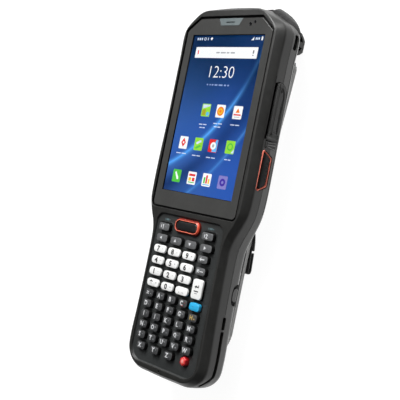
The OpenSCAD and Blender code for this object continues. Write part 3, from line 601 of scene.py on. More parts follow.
LF = [(12, 60.6, -22), (17, 58, -22), (23.2, 54, -22), (28.5, 49.5, -21.5), (31, 45, -21), (31.3, 30, -20.7), (31.3, 8, -20.5), (31.3, -10, -20.2),
      (31.4, -24, -20), (31, -42, -19.6), (30.2, -49.5, -19.4), (28.6, -55.8, -19.2), (27, -62, -19), (26, -67.5, -19), (25.8, -74, -19),
      (25.8, -90, -19), (26, -110, -19), (26.2, -126, -19), (25.8, -132, -19), (23, -136.4, -19), (18, -139.6, -19), (10, -140.4, -19)]
LE = [(10.5, 59.5, -29.6), (14.5, 58, -29.6), (18, 55.5, -29.6), (21.3, 52, -29.6), (23, 46, -29.6), (23.2, 30, -29.4), (23.2, 8, -28.8),
      (23, -10, -27.8), (22.6, -24, -26.9), (22, -42, -25.9), (21.5, -49.5, -25.4), (20.8, -55.8, -24.9), (20, -62, -24.5), (19.5, -67.5, -24.2),
      (19.5, -74, -24), (19.5, -90, -24), (19.5, -110, -24), (19.5, -126, -24), (19, -131, -24.2), (17, -134.5, -24.2), (13, -136.8, -24.2), (8, -137.3, -24.2)]


def full(level, z=None):
    right = [(p[0], p[1], p[2] if len(p) > 2 else z) for p in level]
    return np.array(right + [(-p[0], p[1], p[2]) for p in reversed(right)], float)


K = 6


def cr(P, k=K, alpha=0.5):
    """Closed Catmull-Rom curve through the points."""
    n = len(P); out = []
    for i in range(n):
        p0, p1, p2, p3 = P[i - 1], P[i], P[(i + 1) % n], P[(i + 2) % n]
        t0 = 0.0; t1 = t0 + np.linalg.norm(p1 - p0) ** alpha; t2 = t1 + np.linalg.norm(p2 - p1) ** alpha; t3 = t2 + np.linalg.norm(p3 - p2) ** alpha
        for j in range(k):
            t = t1 + (t2 - t1) * j / k
            A1 = (t1 - t) / (t1 - t0) * p0 + (t - t0) / (t1 - t0) * p1
            A2 = (t2 - t) / (t2 - t1) * p1 + (t - t1) / (t2 - t1) * p2
            A3 = (t3 - t) / (t3 - t2) * p2 + (t - t2) / (t3 - t2) * p3
            B1 = (t2 - t) / (t2 - t0) * A1 + (t - t0) / (t2 - t0) * A2
            B2 = (t3 - t) / (t3 - t1) * A2 + (t - t1) / (t3 - t1) * A3
            out.append((t2 - t) / (t2 - t1) * B1 + (t - t1) / (t2 - t1) * B2)
    return np.array(out)


def inset_ring(R, d, z=None):
    q = inset_poly(R[:, :2], d)
    zz = R[:, 2:3] if z is None else np.full((len(R), 1), z)
    return np.c_[q, zz]


def round_levels(levels, radii, seg=4):
    L = [np.asarray(l, float) for l in levels]
    rings = [L[0]]
    for j in range(1, len(L) - 1):
        r = radii[j - 1]
        if r <= 0:
            rings.append(L[j]); continue
        a, b = L[j - 1] - L[j], L[j + 1] - L[j]
        la = np.linalg.norm(a, axis=1, keepdims=True); lb = np.linalg.norm(b, axis=1, keepdims=True)
        pa = L[j] + a / la * np.minimum(r, 0.46 * la); pb = L[j] + b / lb * np.minimum(r, 0.46 * lb)
        for s in np.linspace(0, 1, seg + 1):
            rings.append((1 - s) ** 2 * pa + 2 * s * (1 - s) * L[j] + s * s * pb)
    rings.append(L[-1])
    return rings


A, B, C, D, F, G = [cr(full(l, z)) for l, z in ((LA, RIM), (LB, -2.8), (LC, SEAM), (LD, -13.4), (LF, None), (LE, None))]
NR = len(A)


def strip_cap(soup, base, flip=False):
    """Closes a ring that is mirrored in X with rows across it."""
    n = NR
    pair = lambda j: (43 * K - j) % n
    j0, j1 = -(K // 2), 21 * K + K // 2
    for j in range(j0, j1):
        q = [j % n, (j + 1) % n, pair(j + 1), pair(j)]
        f = []
        for t in q:
            if base + t not in f:
                f.append(base + t)
        if len(f) >= 3:
            soup.f.append(tuple(f if not flip else reversed(f)))


# ---------------------------------------------------------------- shared details
def side_key_poly(g, r=None):
    pts = [(-15.6 + g * 1.5, -4.3 + g), (-34.9 - g * 1.5, -4.3 + g), (-31.9 - g * 0.9, -9.7 - g), (-18.6 + g * 0.9, -9.7 - g)]
    return rpoly(pts, r if r is not None else max(0.3, 1.0 + g * 0.6), 5)


def cover_poly(g):
    return rpoly([(-7.6 - g, -4.0 + g), (20 + g, -4.0 + g), (20 + g, -7.6), (18.8 + g, -9.9 - g * 0.5), (16.4, -11.7 - g), (12.6, -12.4 - g), (-7.6 - g, -12.4 - g)],
                 [0.6, 1.2, 2.5, 2.5, 2.5, 2.5, 0.6], 4)


GLASS = rpoly([(-22.1, 52.2), (-30.7, 45.4), (-30.7, -52.35), (30.7, -52.35), (30.7, 45.4), (22.1, 52.2)], [1.6, 1.6, 2.4, 2.4, 1.6, 1.6], 6)
POCKET = rpoly([(-22.6, 53.4), (-31.8, 46.2), (-31.8, -53.4), (31.5, -53.3), (31.5, 46.3), (22.6, 53.4)], [1.8, 1.8, 2.7, 2.7, 1.8, 1.8], 6)
KEYPAD = rpoly([(-24.9, -56.2), (-24.9, -137.0), (24.9, -137.0), (24.9, -56.2)], [4.6, 7.5, 7.5, 4.6], 10)
PANEL_Z = -0.4

NUM_PX, NUM_PY, LET_PX, LET_PY = 11.2, 6.23, 8.8, 5.7
NX = [-1.5 * NUM_PX, -0.5 * NUM_PX, 0.5 * NUM_PX, 1.5 * NUM_PX]
NY = lambda r: -75.5 - r * NUM_PY
LX = lambda i: (i - 2) * LET_PX
LY = lambda r: -100.1 - r * LET_PY

# name, body, centre x, y, width, height, corner, kind, legend
KEYS = [("scan_key", "scan_key", -0.65, -60.9, 15.6, 4.9, 2.1, "scan", ""),
        ("key_p1", "key_p1", NX[0] - 0.2, -63.4, 8.3, 4.2, 1.3, "dark", "1:"),
        ("key_p2", "key_p2", NX[3] - 0.7, -63.4, 8.3, 4.2, 1.3, "dark", "2:")]
for i, (nm, lg) in enumerate((("key_left", "<"), ("key_up", "^"), ("key_down", "v"), ("key_right", ">"))):
    KEYS.append((nm, nm, NX[i] - 0.2, -69.5, 8.6, 4.3, 1.5, "dark", lg))
for r, row in enumerate((("7", "8", "9"), ("4", "5", "6"), ("1", "2", "3"), ("*", "0", "."))):
    for c, t in enumerate(row):
        nm = {"*": "key_star", ".": "key_dot"}.get(t, "key_" + t)
        KEYS.append((nm, nm, NX[c] - 0.05, NY(r), 9.5, 4.2, 1.6, "white", t))
KEYS += [("key_backspace", "key_backspace", NX[3] - 0.8, NY(0) + 0.05, 7.2, 4.1, 1.4, "dark", "back"),
         ("key_escape", "key_escape", NX[3] - 0.75, NY(1) + 0.05, 7.2, 4.1, 1.4, "dark", "esc"),
         ("key_enter", "key_enter", NX[3] - 0.55, (NY(2) + NY(3)) / 2 + 0.15, 7.5, 10.6, 1.3, "enter", "ent"),
         ("key_blue", "key_blue", LX(4) - 0.85, LY(0), 7.5, 4.3, 1.5, "blue", ""),
         ("key_power", "key_power", LX(4) - 1.2, LY(5) + 0.1, 5.2, 5.4, 1.8, "red", "pwr")]
ROWS = ["#ABC", "DEFGH", "IJKLM", "NOPQR", "STUVW", "XYZ"]
for r, row in enumerate(ROWS):
    for c, t in enumerate(row):
        x = LX(c) - 0.5 if r < 5 else NX[c] + 0.4 - c * 0.4
        KEYS.append(("letter_row_%d" % (r + 1), "letter_row_%d" % (r + 1), x, LY(r), 6.5, 4.2, 1.4, "letter", t))

# ---------------------------------------------------------------- front housing
# top face edge, chamfer, side, then a small lip at the seam
Cb = C + (B - C) * (0.16 / 5.2); Cb[:, 2] = SEAM + 0.16
C_lip = inset_ring(C, 0.16, SEAM)
front_rings = round_levels([inset_ring(A, 1.3, RIM), A, B, Cb, C_lip, inset_ring(B, 2.7, SEAM), inset_ring(B, 2.7, -1.7)], [0.5, 1.0, 0, 0, 0], 5)
s = Soup()
s.rings(front_rings)
front = obj_from(mesh_from(s), "front")
cut = Soup()
cut.profile(POCKET, [(0, -0.66), (0, 0.5), (-0.2, 0.72), (-0.5, 2.5)])
boolean(front, cut)
cut = Soup()
cut.box((-28.7, -47.7, -3), (28.7, 47.7, 0.2))
cut.profile(KEYPAD, [(0.35, PANEL_Z), (0, PANEL_Z + 0.35), (0, 0.35), (-0.35, 0.72), (-0.7, 2.5)])
boolean(front, cut)
cut = Soup()
for nm, body, x, y, w, h, r, kind, lg in KEYS:
    g = 0.25
    cut.prism(rrect(x, y, w + 2 * g, h + 2 * g, r + g, 4), -3, 3)
boolean(front, cut)
cut = Soup()
cut.prism(rrect(-0.65, -60.9, 18.9, 8.1, 3.55, 8), -3, 3)
for sx in (1, -1):
    cut.prism_x([(y, z) for y, z in side_key_poly(1.2)], 33.2 * sx, 41 * sx)
boolean(front, cut)


def cover_cuts(ob):
    """Pocket of the socket cover, the round seat of its hinge, and the dark gap along its front edge."""
    c1 = Soup(); c1.prism_x(cover_poly(0.25), 35.9, 41); boolean(ob, c1)
    c1 = Soup(); c1.prism([(36.9 + 1.5 * math.cos(a), -8.7 + 1.5 * math.sin(a)) for a in np.linspace(0, 2 * math.pi, 25)[:-1]], -11.8, -3.9); boolean(ob, c1)
    c1 = Soup(); c1.box((37.2, -10.25, -11.8), (41, -7.2, -3.9)); boolean(ob, c1)
    c1 = Soup(); c1.prism_x(rpoly([(-9.2, -5.2), (-9.2, -2.92), (19.2, -2.92), (20.4, -5.2)], 0.4, 3), 35.2, 41); boolean(ob, c1)


cover_cuts(front)


def band_cut(levels_z, depth, y_hi, y_lo, outward=1.2, sides=(1, -1), zf=None):
    """Closed bands that follow the outline on each side between two y values. levels_z: (z low, z high)."""
    sp = Soup()
    z0, z1 = levels_z
    inn = inset_ring(C, depth); out = inset_ring(C, -outward)
    for sd in sides:
        ids = [i for i in range(NR) if C[i][0] * sd > 0]
        ids.sort(key=lambda i: -C[i][1])
        rows = [(C[i][1], C[i][0], inn[i], out[i]) for i in ids]

        def end_row(y):
            for p, q in zip(rows[:-1], rows[1:]):
                if p[0] >= y >= q[0]:
                    t = (p[0] - y) / max(p[0] - q[0], 1e-9)
                    return [(y, p[1] + (q[1] - p[1]) * t, p[2] + (q[2] - p[2]) * t, p[3] + (q[3] - p[3]) * t)]
            return []
        quad = []
        for y, x, a, o in end_row(y_hi) + [r for r in rows if y_lo + 0.05 < r[0] < y_hi - 0.05] + end_row(y_lo):
            dz = zf(y, abs(x)) if zf else 0.0
            quad.append([(a[0], a[1], z0 + dz), (o[0], o[1], z0 + dz), (o[0], o[1], z1 + dz), (a[0], a[1], z1 + dz)])
        if len(quad) > 1:
            sp.rings(quad)
    return sp


# deep groove at the seam round the grip's lower end, in two lengths, curving forwards at the end
lift_end = lambda y, x: 3.0 * max(0.0, min(1.0, (-133.0 - y) / 5.0)) if y < -133 else 0.0
boolean(front, band_cut((-9.1, -6.9), 1.6, -102.0, -108.4))
boolean(front, band_cut((-9.1, -6.9), 1.6, -109.4, -139.6, zf=lift_end))
cut = Soup()
# charging contact holes in the lower end face and a microphone hole
for i in range(4):
    cut.prism_y([(-6 + 4 * i + 1.05 * math.cos(a), -5.4 + 1.05 * math.sin(a)) for a in np.linspace(0, 2 * math.pi, 21)[:-1]], -143, -139.2)
cut.prism([(0.5 * math.cos(a), -138.6 + 0.5 * math.sin(a)) for a in np.linspace(0, 2 * math.pi, 17)[:-1]], -3, 2)
boolean(front, cut)


def front_pick(c, n):
    if -1.75 < c.z < 0.45 and abs(c.x) < 25.15 and -137.3 < c.y < -55.9:
        return 1
    # dark gap along the socket cover's front edge: its faces are painted near-black as painted shade
    if 35.1 < c.x < 37.12 and -9.3 < c.y < 20.5 and -5.25 < c.z < -2.89:
        return 2
    # seat of the glass painted near-black: partly a dark gasket, partly painted shade for the shadowed gap round the
    # glass
    if -1.75 < c.z < 0.52 and abs(c.x) < 31.86 and -53.5 < c.y < 53.45 and 0.62 * abs(c.x) + 0.784 * c.y < 56.05:
        return 2
    return 0


finish_piece(front, "front_shell", [HOUSING, PANEL, PAINTED_SHADE_BLACK], "housing", "housing_grey", ["front_housing"], sharp=28, pick=front_pick)

# ---------------------------------------------------------------- rear housing
Ct = C + (D - C) * (0.16 / 5.4); Ct[:, 2] = SEAM - 0.16
C_lo = inset_ring(C, 0.16, SEAM)
ci, di, fi, gi = inset_ring(C, 2.1, SEAM), inset_ring(D, 2.2), inset_ring(F, 2.2), inset_ring(G, 2.0)
fi[:, 2] += 0.9; gi[:, 2] += 2.0
outer = round_levels([C_lo, Ct, D, F, G, inset_ring(G, 3.0)], [0, 1.7, 2.6, 2.4], 5)
s = Soup()
rear_rings = [gi, fi, di, ci] + outer
b, last, n = s.rings(rear_rings, cap0=False, cap1=False)
strip_cap(s, b, flip=True)
strip_cap(s, last)
rear = obj_from(mesh_from(s), "rear")
# lugs of the strap's lower pin and the bulkhead
add = Soup()
for sx in (1, -1):
    add.prism_x(rpoly([(-123.0, -22.9), (-124.3, -28.6), (-125.6, -31.25), (-129.6, -31.25), (-131.2, -29), (-132.0, -22.9)], [0, 1.5, 1.2, 1.2, 1.8, 0], 5),
                sx * 13.4 - 1.6, sx * 13.4 + 1.6)
add.box((-25, -60, -23.6), (25, -58.4, -8.7))
boolean(rear, add, 'UNION')
cut = Soup()
cut.box((-12.5, 50, -26.6), (12.5, 70, -16.6))
cut.prism_y(rrect(0, -15.7, 39.6, 13.2, 1.6, 5), -150, -128)
for sx in (1, -1):
    cut.prism_x(side_key_poly(1.2), 33.2 * sx, 41 * sx)
    # vent slot near the top of the side
    cut.prism_x(rpoly([(38.0, -11.7), (38.2, -9.2), (46.1, -9.8), (45.9, -12.3)], 0.8, 4), 34.6 * sx, 41 * sx)
for i in range(-2, 3):
    cut.prism(rrect(0, -10 + i * 2.6, 15, 1.1, 0.5, 4), -33, -22)
boolean(rear, cut)
cover_cuts(rear)
cut = Soup()
# screw seats, strap pin bore
BOSS = [(31.2, 38), (31.2, -40), (24.4, -66), (24.6, -127)]
for bx, by in BOSS:
    for sx in (1, -1):
        cut.prism([(sx * bx + 2.5 * math.cos(a), by + 2.5 * math.sin(a)) for a in np.linspace(0, 2 * math.pi, 29)[:-1]], -40, -15.25)
boolean(rear, cut)
cut = Soup()
cut.prism_x([(-127.5 + 1.24 * math.cos(a), -27.9 + 1.24 * math.sin(a)) for a in np.linspace(0, 2 * math.pi, 25)[:-1]], -20, 20)
boolean(rear, cut)
boolean(rear, band_cut((-9.1, -6.9), 1.6, -102.0, -108.4))
boolean(rear, band_cut((-9.1, -6.9), 1.6, -109.4, -139.6, zf=lift_end))
# thin parting groove along the head's rear edge
boolean(rear, band_cut((-12.75, -12.3), 0.45, 45.0, -47.0))
# finger scoops on the grip's sides
cut = Soup()
for sx in (1, -1):
    sc = rpoly([(-84.0, -13.6), (-85.6, -10.6), (-90.0, -9.9), (-95.0, -10.5), (-96.4, -13.6), (-94.6, -17.2), (-90.0, -18.2), (-85.4, -17.2)], 2.4, 5)
    cut.rings([[(sx * x, -90.2 + (y + 90.2) * q, -13.9 + (z + 13.9) * q) for y, z in sc] for x, q in ((29.25, 0.60), (28.55, 0.66), (28.55, 0.86), (29.5, 0.95), (30.1, 0.99), (30.6, 1.02), (31.4, 1.09), (33.0, 1.3))])
boolean(rear, cut)
# flat underside on the plane that the terminal lies on
ground = Soup()
Pinv = PLACE.inverted()
gv = [Pinv @ Vector((x, y, z)) for z in (-0.02, 0.0) for x, y in ((-0.1, -0.2), (0.1, -0.2), (0.1, 0.2), (-0.1, 0.2))]
ground.rings([[tuple(v) for v in gv[:4]], [tuple(v) for v in gv[4:]]])
boolean(rear, ground)


def rear_pick(c, n):
    # floor and front wall of the finger scoop painted near-black: painted shade in the hollow
    if -97.5 < c.y < -83.5 and -18.5 < c.z < -9.5 and 28.4 < abs(c.x) < 29.22:
        return 2
    # gap along the socket cover's front edge painted near-black: painted shade
    if 35.1 < c.x < 37.12 and -9.3 < c.y < 20.5 and -5.25 < c.z < -2.89:
        return 2
    if -0.93 < n.z < -0.16 and abs(n.x) > 0.3 and c.z < -12.9:
        return 1
    return 0


finish_piece(rear, "rear_shell", [HOUSING_DARK, HOUSING_SLOPE, PAINTED_SHADE_BLACK], "housing", "housing_dark", ["rear_housing"], sharp=28, pick=rear_pick)


# ---------------------------------------------------------------- hood round the scan window
H0 = [(12.0, 60.6), (16.6, 61.2), (20.8, 59.7), (27.4, 56.0), (34.0, 51.9), (36.4, 48.4), (36.9, 44), (30, 40)]
H1 = [(11.6, 62.0), (15.0, 63.4), (18.9, 61.9), (25.3, 58.3), (30.5, 53.5), (33.6, 47.6), (34.0, 44), (28, 40)]
H2 = [(10, 62.2), (13.4, 62.8), (17.4, 61.1), (22.6, 57.5), (25.8, 53.8), (28.4, 47.6), (28.8, 44), (24, 40)]
H3 = [(9, 61.6), (11.6, 61.3), (15.6, 59.7), (19.6, 57.2), (23, 53.6), (24.6, 47.6), (25, 44), (21, 40)]


def hood_ring(h, z):
    right = [(x, y, z) for x, y in h]
    return cr(np.array(right + [(-x, y, z) for x, y, _ in reversed(right)], float), 5)


h0, h1, h2, h3 = hood_ring(H0, -14.6), hood_ring(H1, -19), hood_ring(H2, -25.4), hood_ring(H3, -29.6)
s = Soup()
s.rings(round_levels([inset_ring(h0, 3.0), h0, h1, h2, h3, inset_ring(h3, 3.0)], [1.0, 2.2, 2.6, 1.6], 5))
hood = obj_from(mesh_from(s), "hood")
cut = Soup()
b, last, n = cut.rings([inset_ring(l, 0.35) for l in round_levels([C, D, F, G], [1.7, 2.6], 4)], cap0=False, cap1=False)
strip_cap(cut, b)
strip_cap(cut, last)
boolean(hood, cut)
cut = Soup()
cut.prism_y(rrect(0, -21.6, 26.8, 10.8, 1.2, 5), 50, 80)
cut.box((-60, 20, -60), (60, 48.6, 10))
boolean(hood, cut)
# shallow grip flutes on the hood's corners
cut = Soup()
for sx in (1, -1):
    for k in range(3):
        x0, y0 = 18.3 + k * 3.1, 61.0 - k * 1.85
        cut.rings([[(sx * (x0 + 0.55 * math.cos(a) * 0.86 + dx), y0 + 1.05 * math.sin(a) + dy, z) for a in np.linspace(0, 2 * math.pi, 13)[:-1]]
                   for z, dx, dy in ((-17.2, sx * 0 + 1.1, 1.9), (-18.6, 0.75, 1.15), (-22.6, -0.75, 0.55), (-26.5, -2.4, -0.6))])
boolean(hood, cut)
finish_piece(hood, "hood_moulding", [HOOD], "housing", "hood_rubber", ["scan_hood"], sharp=34)

# ---------------------------------------------------------------- cover glass, display
WX, WY = 26.1, 43.45      # clear window of the glass
NOTCH = rpoly([(-8.75, 60), (-8.75, 52.2), (-6.55, 48.15), (6.55, 48.15), (8.75, 52.2), (8.75, 60)], [0, 0.5, 0.5, 0.5, 0.5, 0], 4)
s = Soup()
s.profile(GLASS, [(0, -0.65), (0, 0.22), (0.04, 0.31), (0.13, 0.35)])
glass = obj_from(mesh_from(s), "glass")
cut = Soup()
cut.prism(NOTCH, -2, 2)
for cx, cy, r in ((14.6, 48.9, 1.02), (17.6, 50, 0.82)):
    cut.prism([(cx + r * math.cos(a), cy + r * math.sin(a)) for a in np.linspace(0, 2 * math.pi, 25)[:-1]], -2, 2)
boolean(glass, cut)
cut = Soup()
cut.box((-WX, -WY, -2), (WX, WY, -0.58))
boolean(glass, cut)


def split_window(ob):
    """Cuts the top face along the window so that the clear part has faces of its own."""
    bm = bmesh.new(); bm.from_mesh(ob.data)
    for co, no in (((WX, 0, 0), (1, 0, 0)), ((-WX, 0, 0), (-1, 0, 0)), ((0, WY, 0), (0, 1, 0)), ((0, -WY, 0), (0, -1, 0))):
        g = bm.faces[:] + bm.edges[:] + bm.verts[:]
        bmesh.ops.bisect_plane(bm, geom=g, plane_co=co, plane_no=no, dist=1e-5)
    bm.to_mesh(ob.data); bm.free()


split_window(glass)
finish_piece(glass, "cover_glass_plate", [INK, PANE], "housing", "cover_glass", ["cover_glass"], sharp=11,
             pick=lambda c, n: 1 if abs(c.x) < WX - 0.01 and abs(c.y) < WY - 0.01 and abs(n.z) > 0.9 else 0, merge=True)


# emitting colours of the lit display
def emit(name, col, strength=1.0):
    M = Mat(name, Roughness=0.6, Specular_IOR_Level=0.0, Emission_Strength=strength)
    t = M.noise(0.25, 3, 0.5)
    # fine cell structure of the panel
    x, y, z = M.xyz()
    cell = ((x * 12.5).sin().abs() * 0.06 + (y * 12.5).sin().abs() * 0.06) + 0.90
    c = M.mixc(t.ramp01(0.3, 0.75) * 0.25, col, tuple(min(1.0, k * 1.08) for k in col))
    m = M.n('ShaderNodeVectorMath'); m.operation = 'SCALE'
    M.nt.links.new(c, m.inputs[0]); M.link(cell, m.inputs['Scale'])
    M.nt.links.new(m.outputs[0], M.p.inputs['Emission Color'])
    M.base(M.mixc(t * 0.3, tuple(k * 0.1 for k in col), (0.02, 0.02, 0.02)))
    M.rough(t * 0.1 + 0.5)
    return M.m


def wallpaper():
    """Deep blue to bright blue with two curved light beams, placed in mm on the panel."""
    M = Mat("wallpaper", Roughness=0.6, Specular_IOR_Level=0.0, Emission_Strength=1.0)
    x, y, z = M.xyz()
    y = y - 38.9
    # base: navy at the top, brighter at the lower middle and at the left
    down = y.ramp01(40, -44, 0.0, 1.0, smooth=False)
    left = x.ramp01(26, -26, 0.0, 1.0)
    c = M.mixc(down.ramp01(0.12, 0.90), (0.0008, 0.0165, 0.058), (0.031, 0.120, 0.53))
    c = M.mixc((left * down) * 0.75, c, (0.052, 0.150, 0.40))
    # beam A: from upper right to the left edge
    def beam(u, width, power):
        return ((u.abs() / width).min(1.0) * -1.0 + 1.0).pow(power)
    # distance from arcs, as circles with far centres
    ax, ay, ar = -74.3, 64.0, 104.6
    da = ((x - ax).pow(2.0) + (y - ay).pow(2.0)).pow(0.5) - ar
    M2 = beam(da, 3.0, 2.2); inner = da.ramp01(0.0, -26.0, 1.0, 0.0) * da.ramp01(-0.6, 0.5, 1.0, 0.0)
    c = M.mixc(inner * x.ramp01(30, -6, 0.12, 0.62) * down.ramp01(0.05, 0.42, 0.55, 1.0), c, (0.021, 0.092, 0.40))
    c = M.mixc(M2 * (down.ramp01(0.22, 0.48, 0.12, 1.0)), c, (0.10, 0.42, 1.0))
    bx, by, br = -101.1, 74.1, 150.0
    db = ((x - bx).pow(2.0) + (y - by).pow(2.0)).pow(0.5) - br
    B2 = beam(db, 2.4, 2.2); inner = db.ramp01(0.0, -16.0, 1.0, 0.0) * db.ramp01(-0.6, 0.5, 1.0, 0.0)
    c = M.mixc(inner * 0.35, c, (0.020, 0.095, 0.38))
    c = M.mixc(B2 * 0.70, c, (0.09, 0.34, 0.84))
    outer = da.ramp01(0.2, 12.0)
    c = M.mixc(outer * db.ramp01(-14.0, 0.0, 0.95, 0.2) * 0.9, c, (0.002, 0.011, 0.066))
    t = M.noise(0.06, 3, 0.5)
    c = M.mixc(t.ramp01(0.35, 0.7) * 0.05, c, (0.02, 0.13, 0.45))
    cell = ((x * 12.5).sin().abs() * 0.05 + (y * 12.5).sin().abs() * 0.05) + 0.92
    m = M.n('ShaderNodeVectorMath'); m.operation = 'SCALE'
    M.nt.links.new(c, m.inputs[0]); M.link(cell, m.inputs['Scale'])
    M.nt.links.new(m.outputs[0], M.p.inputs['Emission Color'])
    M.base(M.mixc(t * 0.3, (0.004, 0.006, 0.02), (0.01, 0.012, 0.03)))
    M.rough(t * 0.1 + 0.5)
    return M.m


UI = {"paper": wallpaper(), "white": emit("ui_white", (0.92, 0.94, 0.95)), "soft": emit("ui_soft", (0.62, 0.72, 0.86)), "dim": emit("ui_dim", (0.25, 0.36, 0.62)),
      "green": emit("ui_green", (0.09, 0.55, 0.06)), "lime": emit("ui_lime", (0.30, 0.70, 0.05)), "orange": emit("ui_orange", (0.85, 0.21, 0.02)),
      "red": emit("ui_red", (0.75, 0.03, 0.03)), "dark": emit("ui_dark", (0.10, 0.11, 0.12)), "grey": emit("ui_grey", (0.42, 0.44, 0.46)),
      "violet": emit("ui_violet", (0.055, 0.03, 0.36)), "lilac": emit("ui_lilac", (0.24, 0.22, 0.55)), "sky": emit("ui_sky", (0.12, 0.48, 0.85)),
      "yellow": emit("ui_yellow", (0.85, 0.55, 0.04)), "olive": emit("ui_olive", (0.42, 0.38, 0.03))}
ui_names = list(UI)
UI_Z = -0.645
ui_v, ui_f, ui_m = [], [], []


def ui_poly(poly, mat, layer):
    z = UI_Z + 0.008 * layer
    b = len(ui_v)
    ui_v.extend([(x, y, z) for x, y in poly]); ui_f.append(tuple(range(b, b + len(poly)))); ui_m.append(ui_names.index(mat))


def ui_disc(cx, cy, r, mat, layer, seg=24, a0=0, a1=2 * math.pi, ry=None):
    n = seg if a1 - a0 > 6.28 else seg + 1
    ui_poly([(cx + r * math.cos(a0 + (a1 - a0) * k / seg), cy + (ry or r) * math.sin(a0 + (a1 - a0) * k / seg)) for k in range(n)], mat, layer)


def ui_bar(cx, cy, w, h, mat, layer, r=None):
    ui_poly(rrect(cx, cy, w, h, min(w, h) * 0.45 if r is None else r, 4), mat, layer)


def text_mesh(txt, height, squeeze=1.0, thin=0.0, gap=1.0):
    """Flat mesh of a text, centred, scaled to that height."""
    cu = bpy.data.curves.new("txt", 'FONT'); cu.body = txt; cu.size = 1.0; cu.resolution_u = 3; cu.fill_mode = 'FRONT'
    cu.offset = -thin; cu.space_character = gap
    ob = obj_from(cu, "txt")
    dg = bpy.context.evaluated_depsgraph_get(); dg.update()
    me = bpy.data.meshes.new_from_object(ob.evaluated_get(dg))
    bpy.data.objects.remove(ob); bpy.data.curves.remove(cu)
    v = np.array([tuple(p.co) for p in me.vertices])
    lo, hi = v.min(0), v.max(0)
    k = height / max(hi[1] - lo[1], 1e-6)
    v = (v - (lo + hi) / 2) * np.array([k * squeeze, k, 0])
    f = [tuple(p.vertices) for p in me.polygons]
    bpy.data.meshes.remove(me)
    return v, f


def ui_text(txt, cx, cy, h, mat, layer, **kw):
    v, f = text_mesh(txt, h, **kw)
    z = UI_Z + 0.008 * layer
    b = len(ui_v)
    ui_v.extend([(x + cx, y + cy, z) for x, y, _ in v])
    for q in f:
        ui_f.append(tuple(b + i for i in q)); ui_m.append(ui_names.index(mat))


ui_poly([(-25.92, -43.2), (25.92, -43.2), (25.92, 43.2), (-25.92, 43.2)], "paper", 0)
# status line
for x, w, h in ((-22.6, 1.0, 1.3), (-21.0, 1.1, 1.3), (-19.4, 0.9, 1.3)):
    ui_bar(x, 41.3, w, h, "soft", 2, 0.25)
ui_disc(-17.0, 41.3, 0.85, "soft", 2); ui_disc(-17.0, 41.3, 0.5, "paper", 3)
ui_bar(-14.8, 41.3, 0.55, 1.5, "soft", 2, 0.2)
ui_poly([(-13.0, 41.5), (-12.1, 42.3), (-11.2, 41.5), (-12.1, 40.4)], "white", 2)
ui_poly([(16.6, 40.5), (18.5, 40.5), (18.5, 42.3)], "white", 2)
for k in range(3):
    ui_bar(19.9 + k * 1.05, 41.35, 0.75, 1.2, "soft", 2, 0.2)
ui_bar(24.0, 41.35, 1.0, 1.8, "white", 2, 0.25); ui_bar(24.0, 42.4, 0.5, 0.3, "white", 3, 0.1)
# entry field
ui_poly(rrect(0.1, 33.8, 45.2, 6.0, 0.35, 4), "white", 1)
ui_bar(-20.4, 33.9, 0.8, 2.4, "red", 2)
for x, w in ((-5.4, 2.6), (-1.5, 3.8), (2.0, 2.2), (5.4, 3.2)):
    ui_bar(x, 33.75, w, 0.8, "grey", 2)
ui_bar(19.9, 34.3, 0.95, 1.9, "dark", 2); ui_bar(19.9, 32.7, 0.3, 0.8, "dark", 3, 0.1); ui_bar(19.9, 32.35, 1.2, 0.25, "dark", 3, 0.1)
# clock, plain digits
ui_text("12:30", 0.3, 23.3, 6.3, "white", 2, squeeze=0.97, thin=0.014, gap=1.0)
for x, w in ((-8.4, 1.0), (-6.4, 0.9), (-4.6, 1.4), (-2.0, 2.2), (1.4, 2.9), (4.6, 1.6), (6.9, 1.3)):
    ui_bar(x, 16.2, w, 0.8, "dim", 2)


def tile(cx, cy, mat, w=6.3, h=6.9, r=0.55):
    ui_poly(rrect(cx, cy, w, h, r, 4), mat, 1)


def label(cx, cy, ws):
    for k, w in enumerate(ws):
        ui_bar(cx - 0.26 * w, cy - 1.75 * k, w * 0.44, 0.5, "soft", 2); ui_bar(cx + 0.25 * w, cy - 1.75 * k, w * 0.42, 0.5, "soft", 2)


# row 1
tile(-5.6, 2.3, "lime"); ui_poly([(-8.2, 3.0), (-3.0, 4.6), (-3.0, 5.3), (-8.2, 5.3)], "soft", 2); ui_poly([(-8.2, 2.3), (-5.6, 3.0), (-5.6, -0.6), (-8.2, -0.6)], "olive", 3)
ui_disc(-4.0, 0.4, 1.1, "sky", 4)
tile(5.2, 2.35, "white"); ui_disc(5.2, 2.3, 2.45, "orange", 2); ui_disc(5.2, 2.3, 1.55, "yellow", 3); ui_disc(5.2, 2.3, 0.9, "orange", 4)
tile(17.4, 2.3, "white"); ui_poly([(15.9, 2.2), (17.4, 4.6), (18.9, 2.2)], "orange", 2); ui_bar(17.4, 1.1, 5.0, 0.75, "red", 3, 0.1); ui_bar(17.4, -0.1, 4.0, 0.35, "grey", 2)
label(-5.8, -5.5, (6.0, 4.4)); label(5.0, -4.4, (6.6, 5.0)); label(17.2, -4.3, (6.6,))
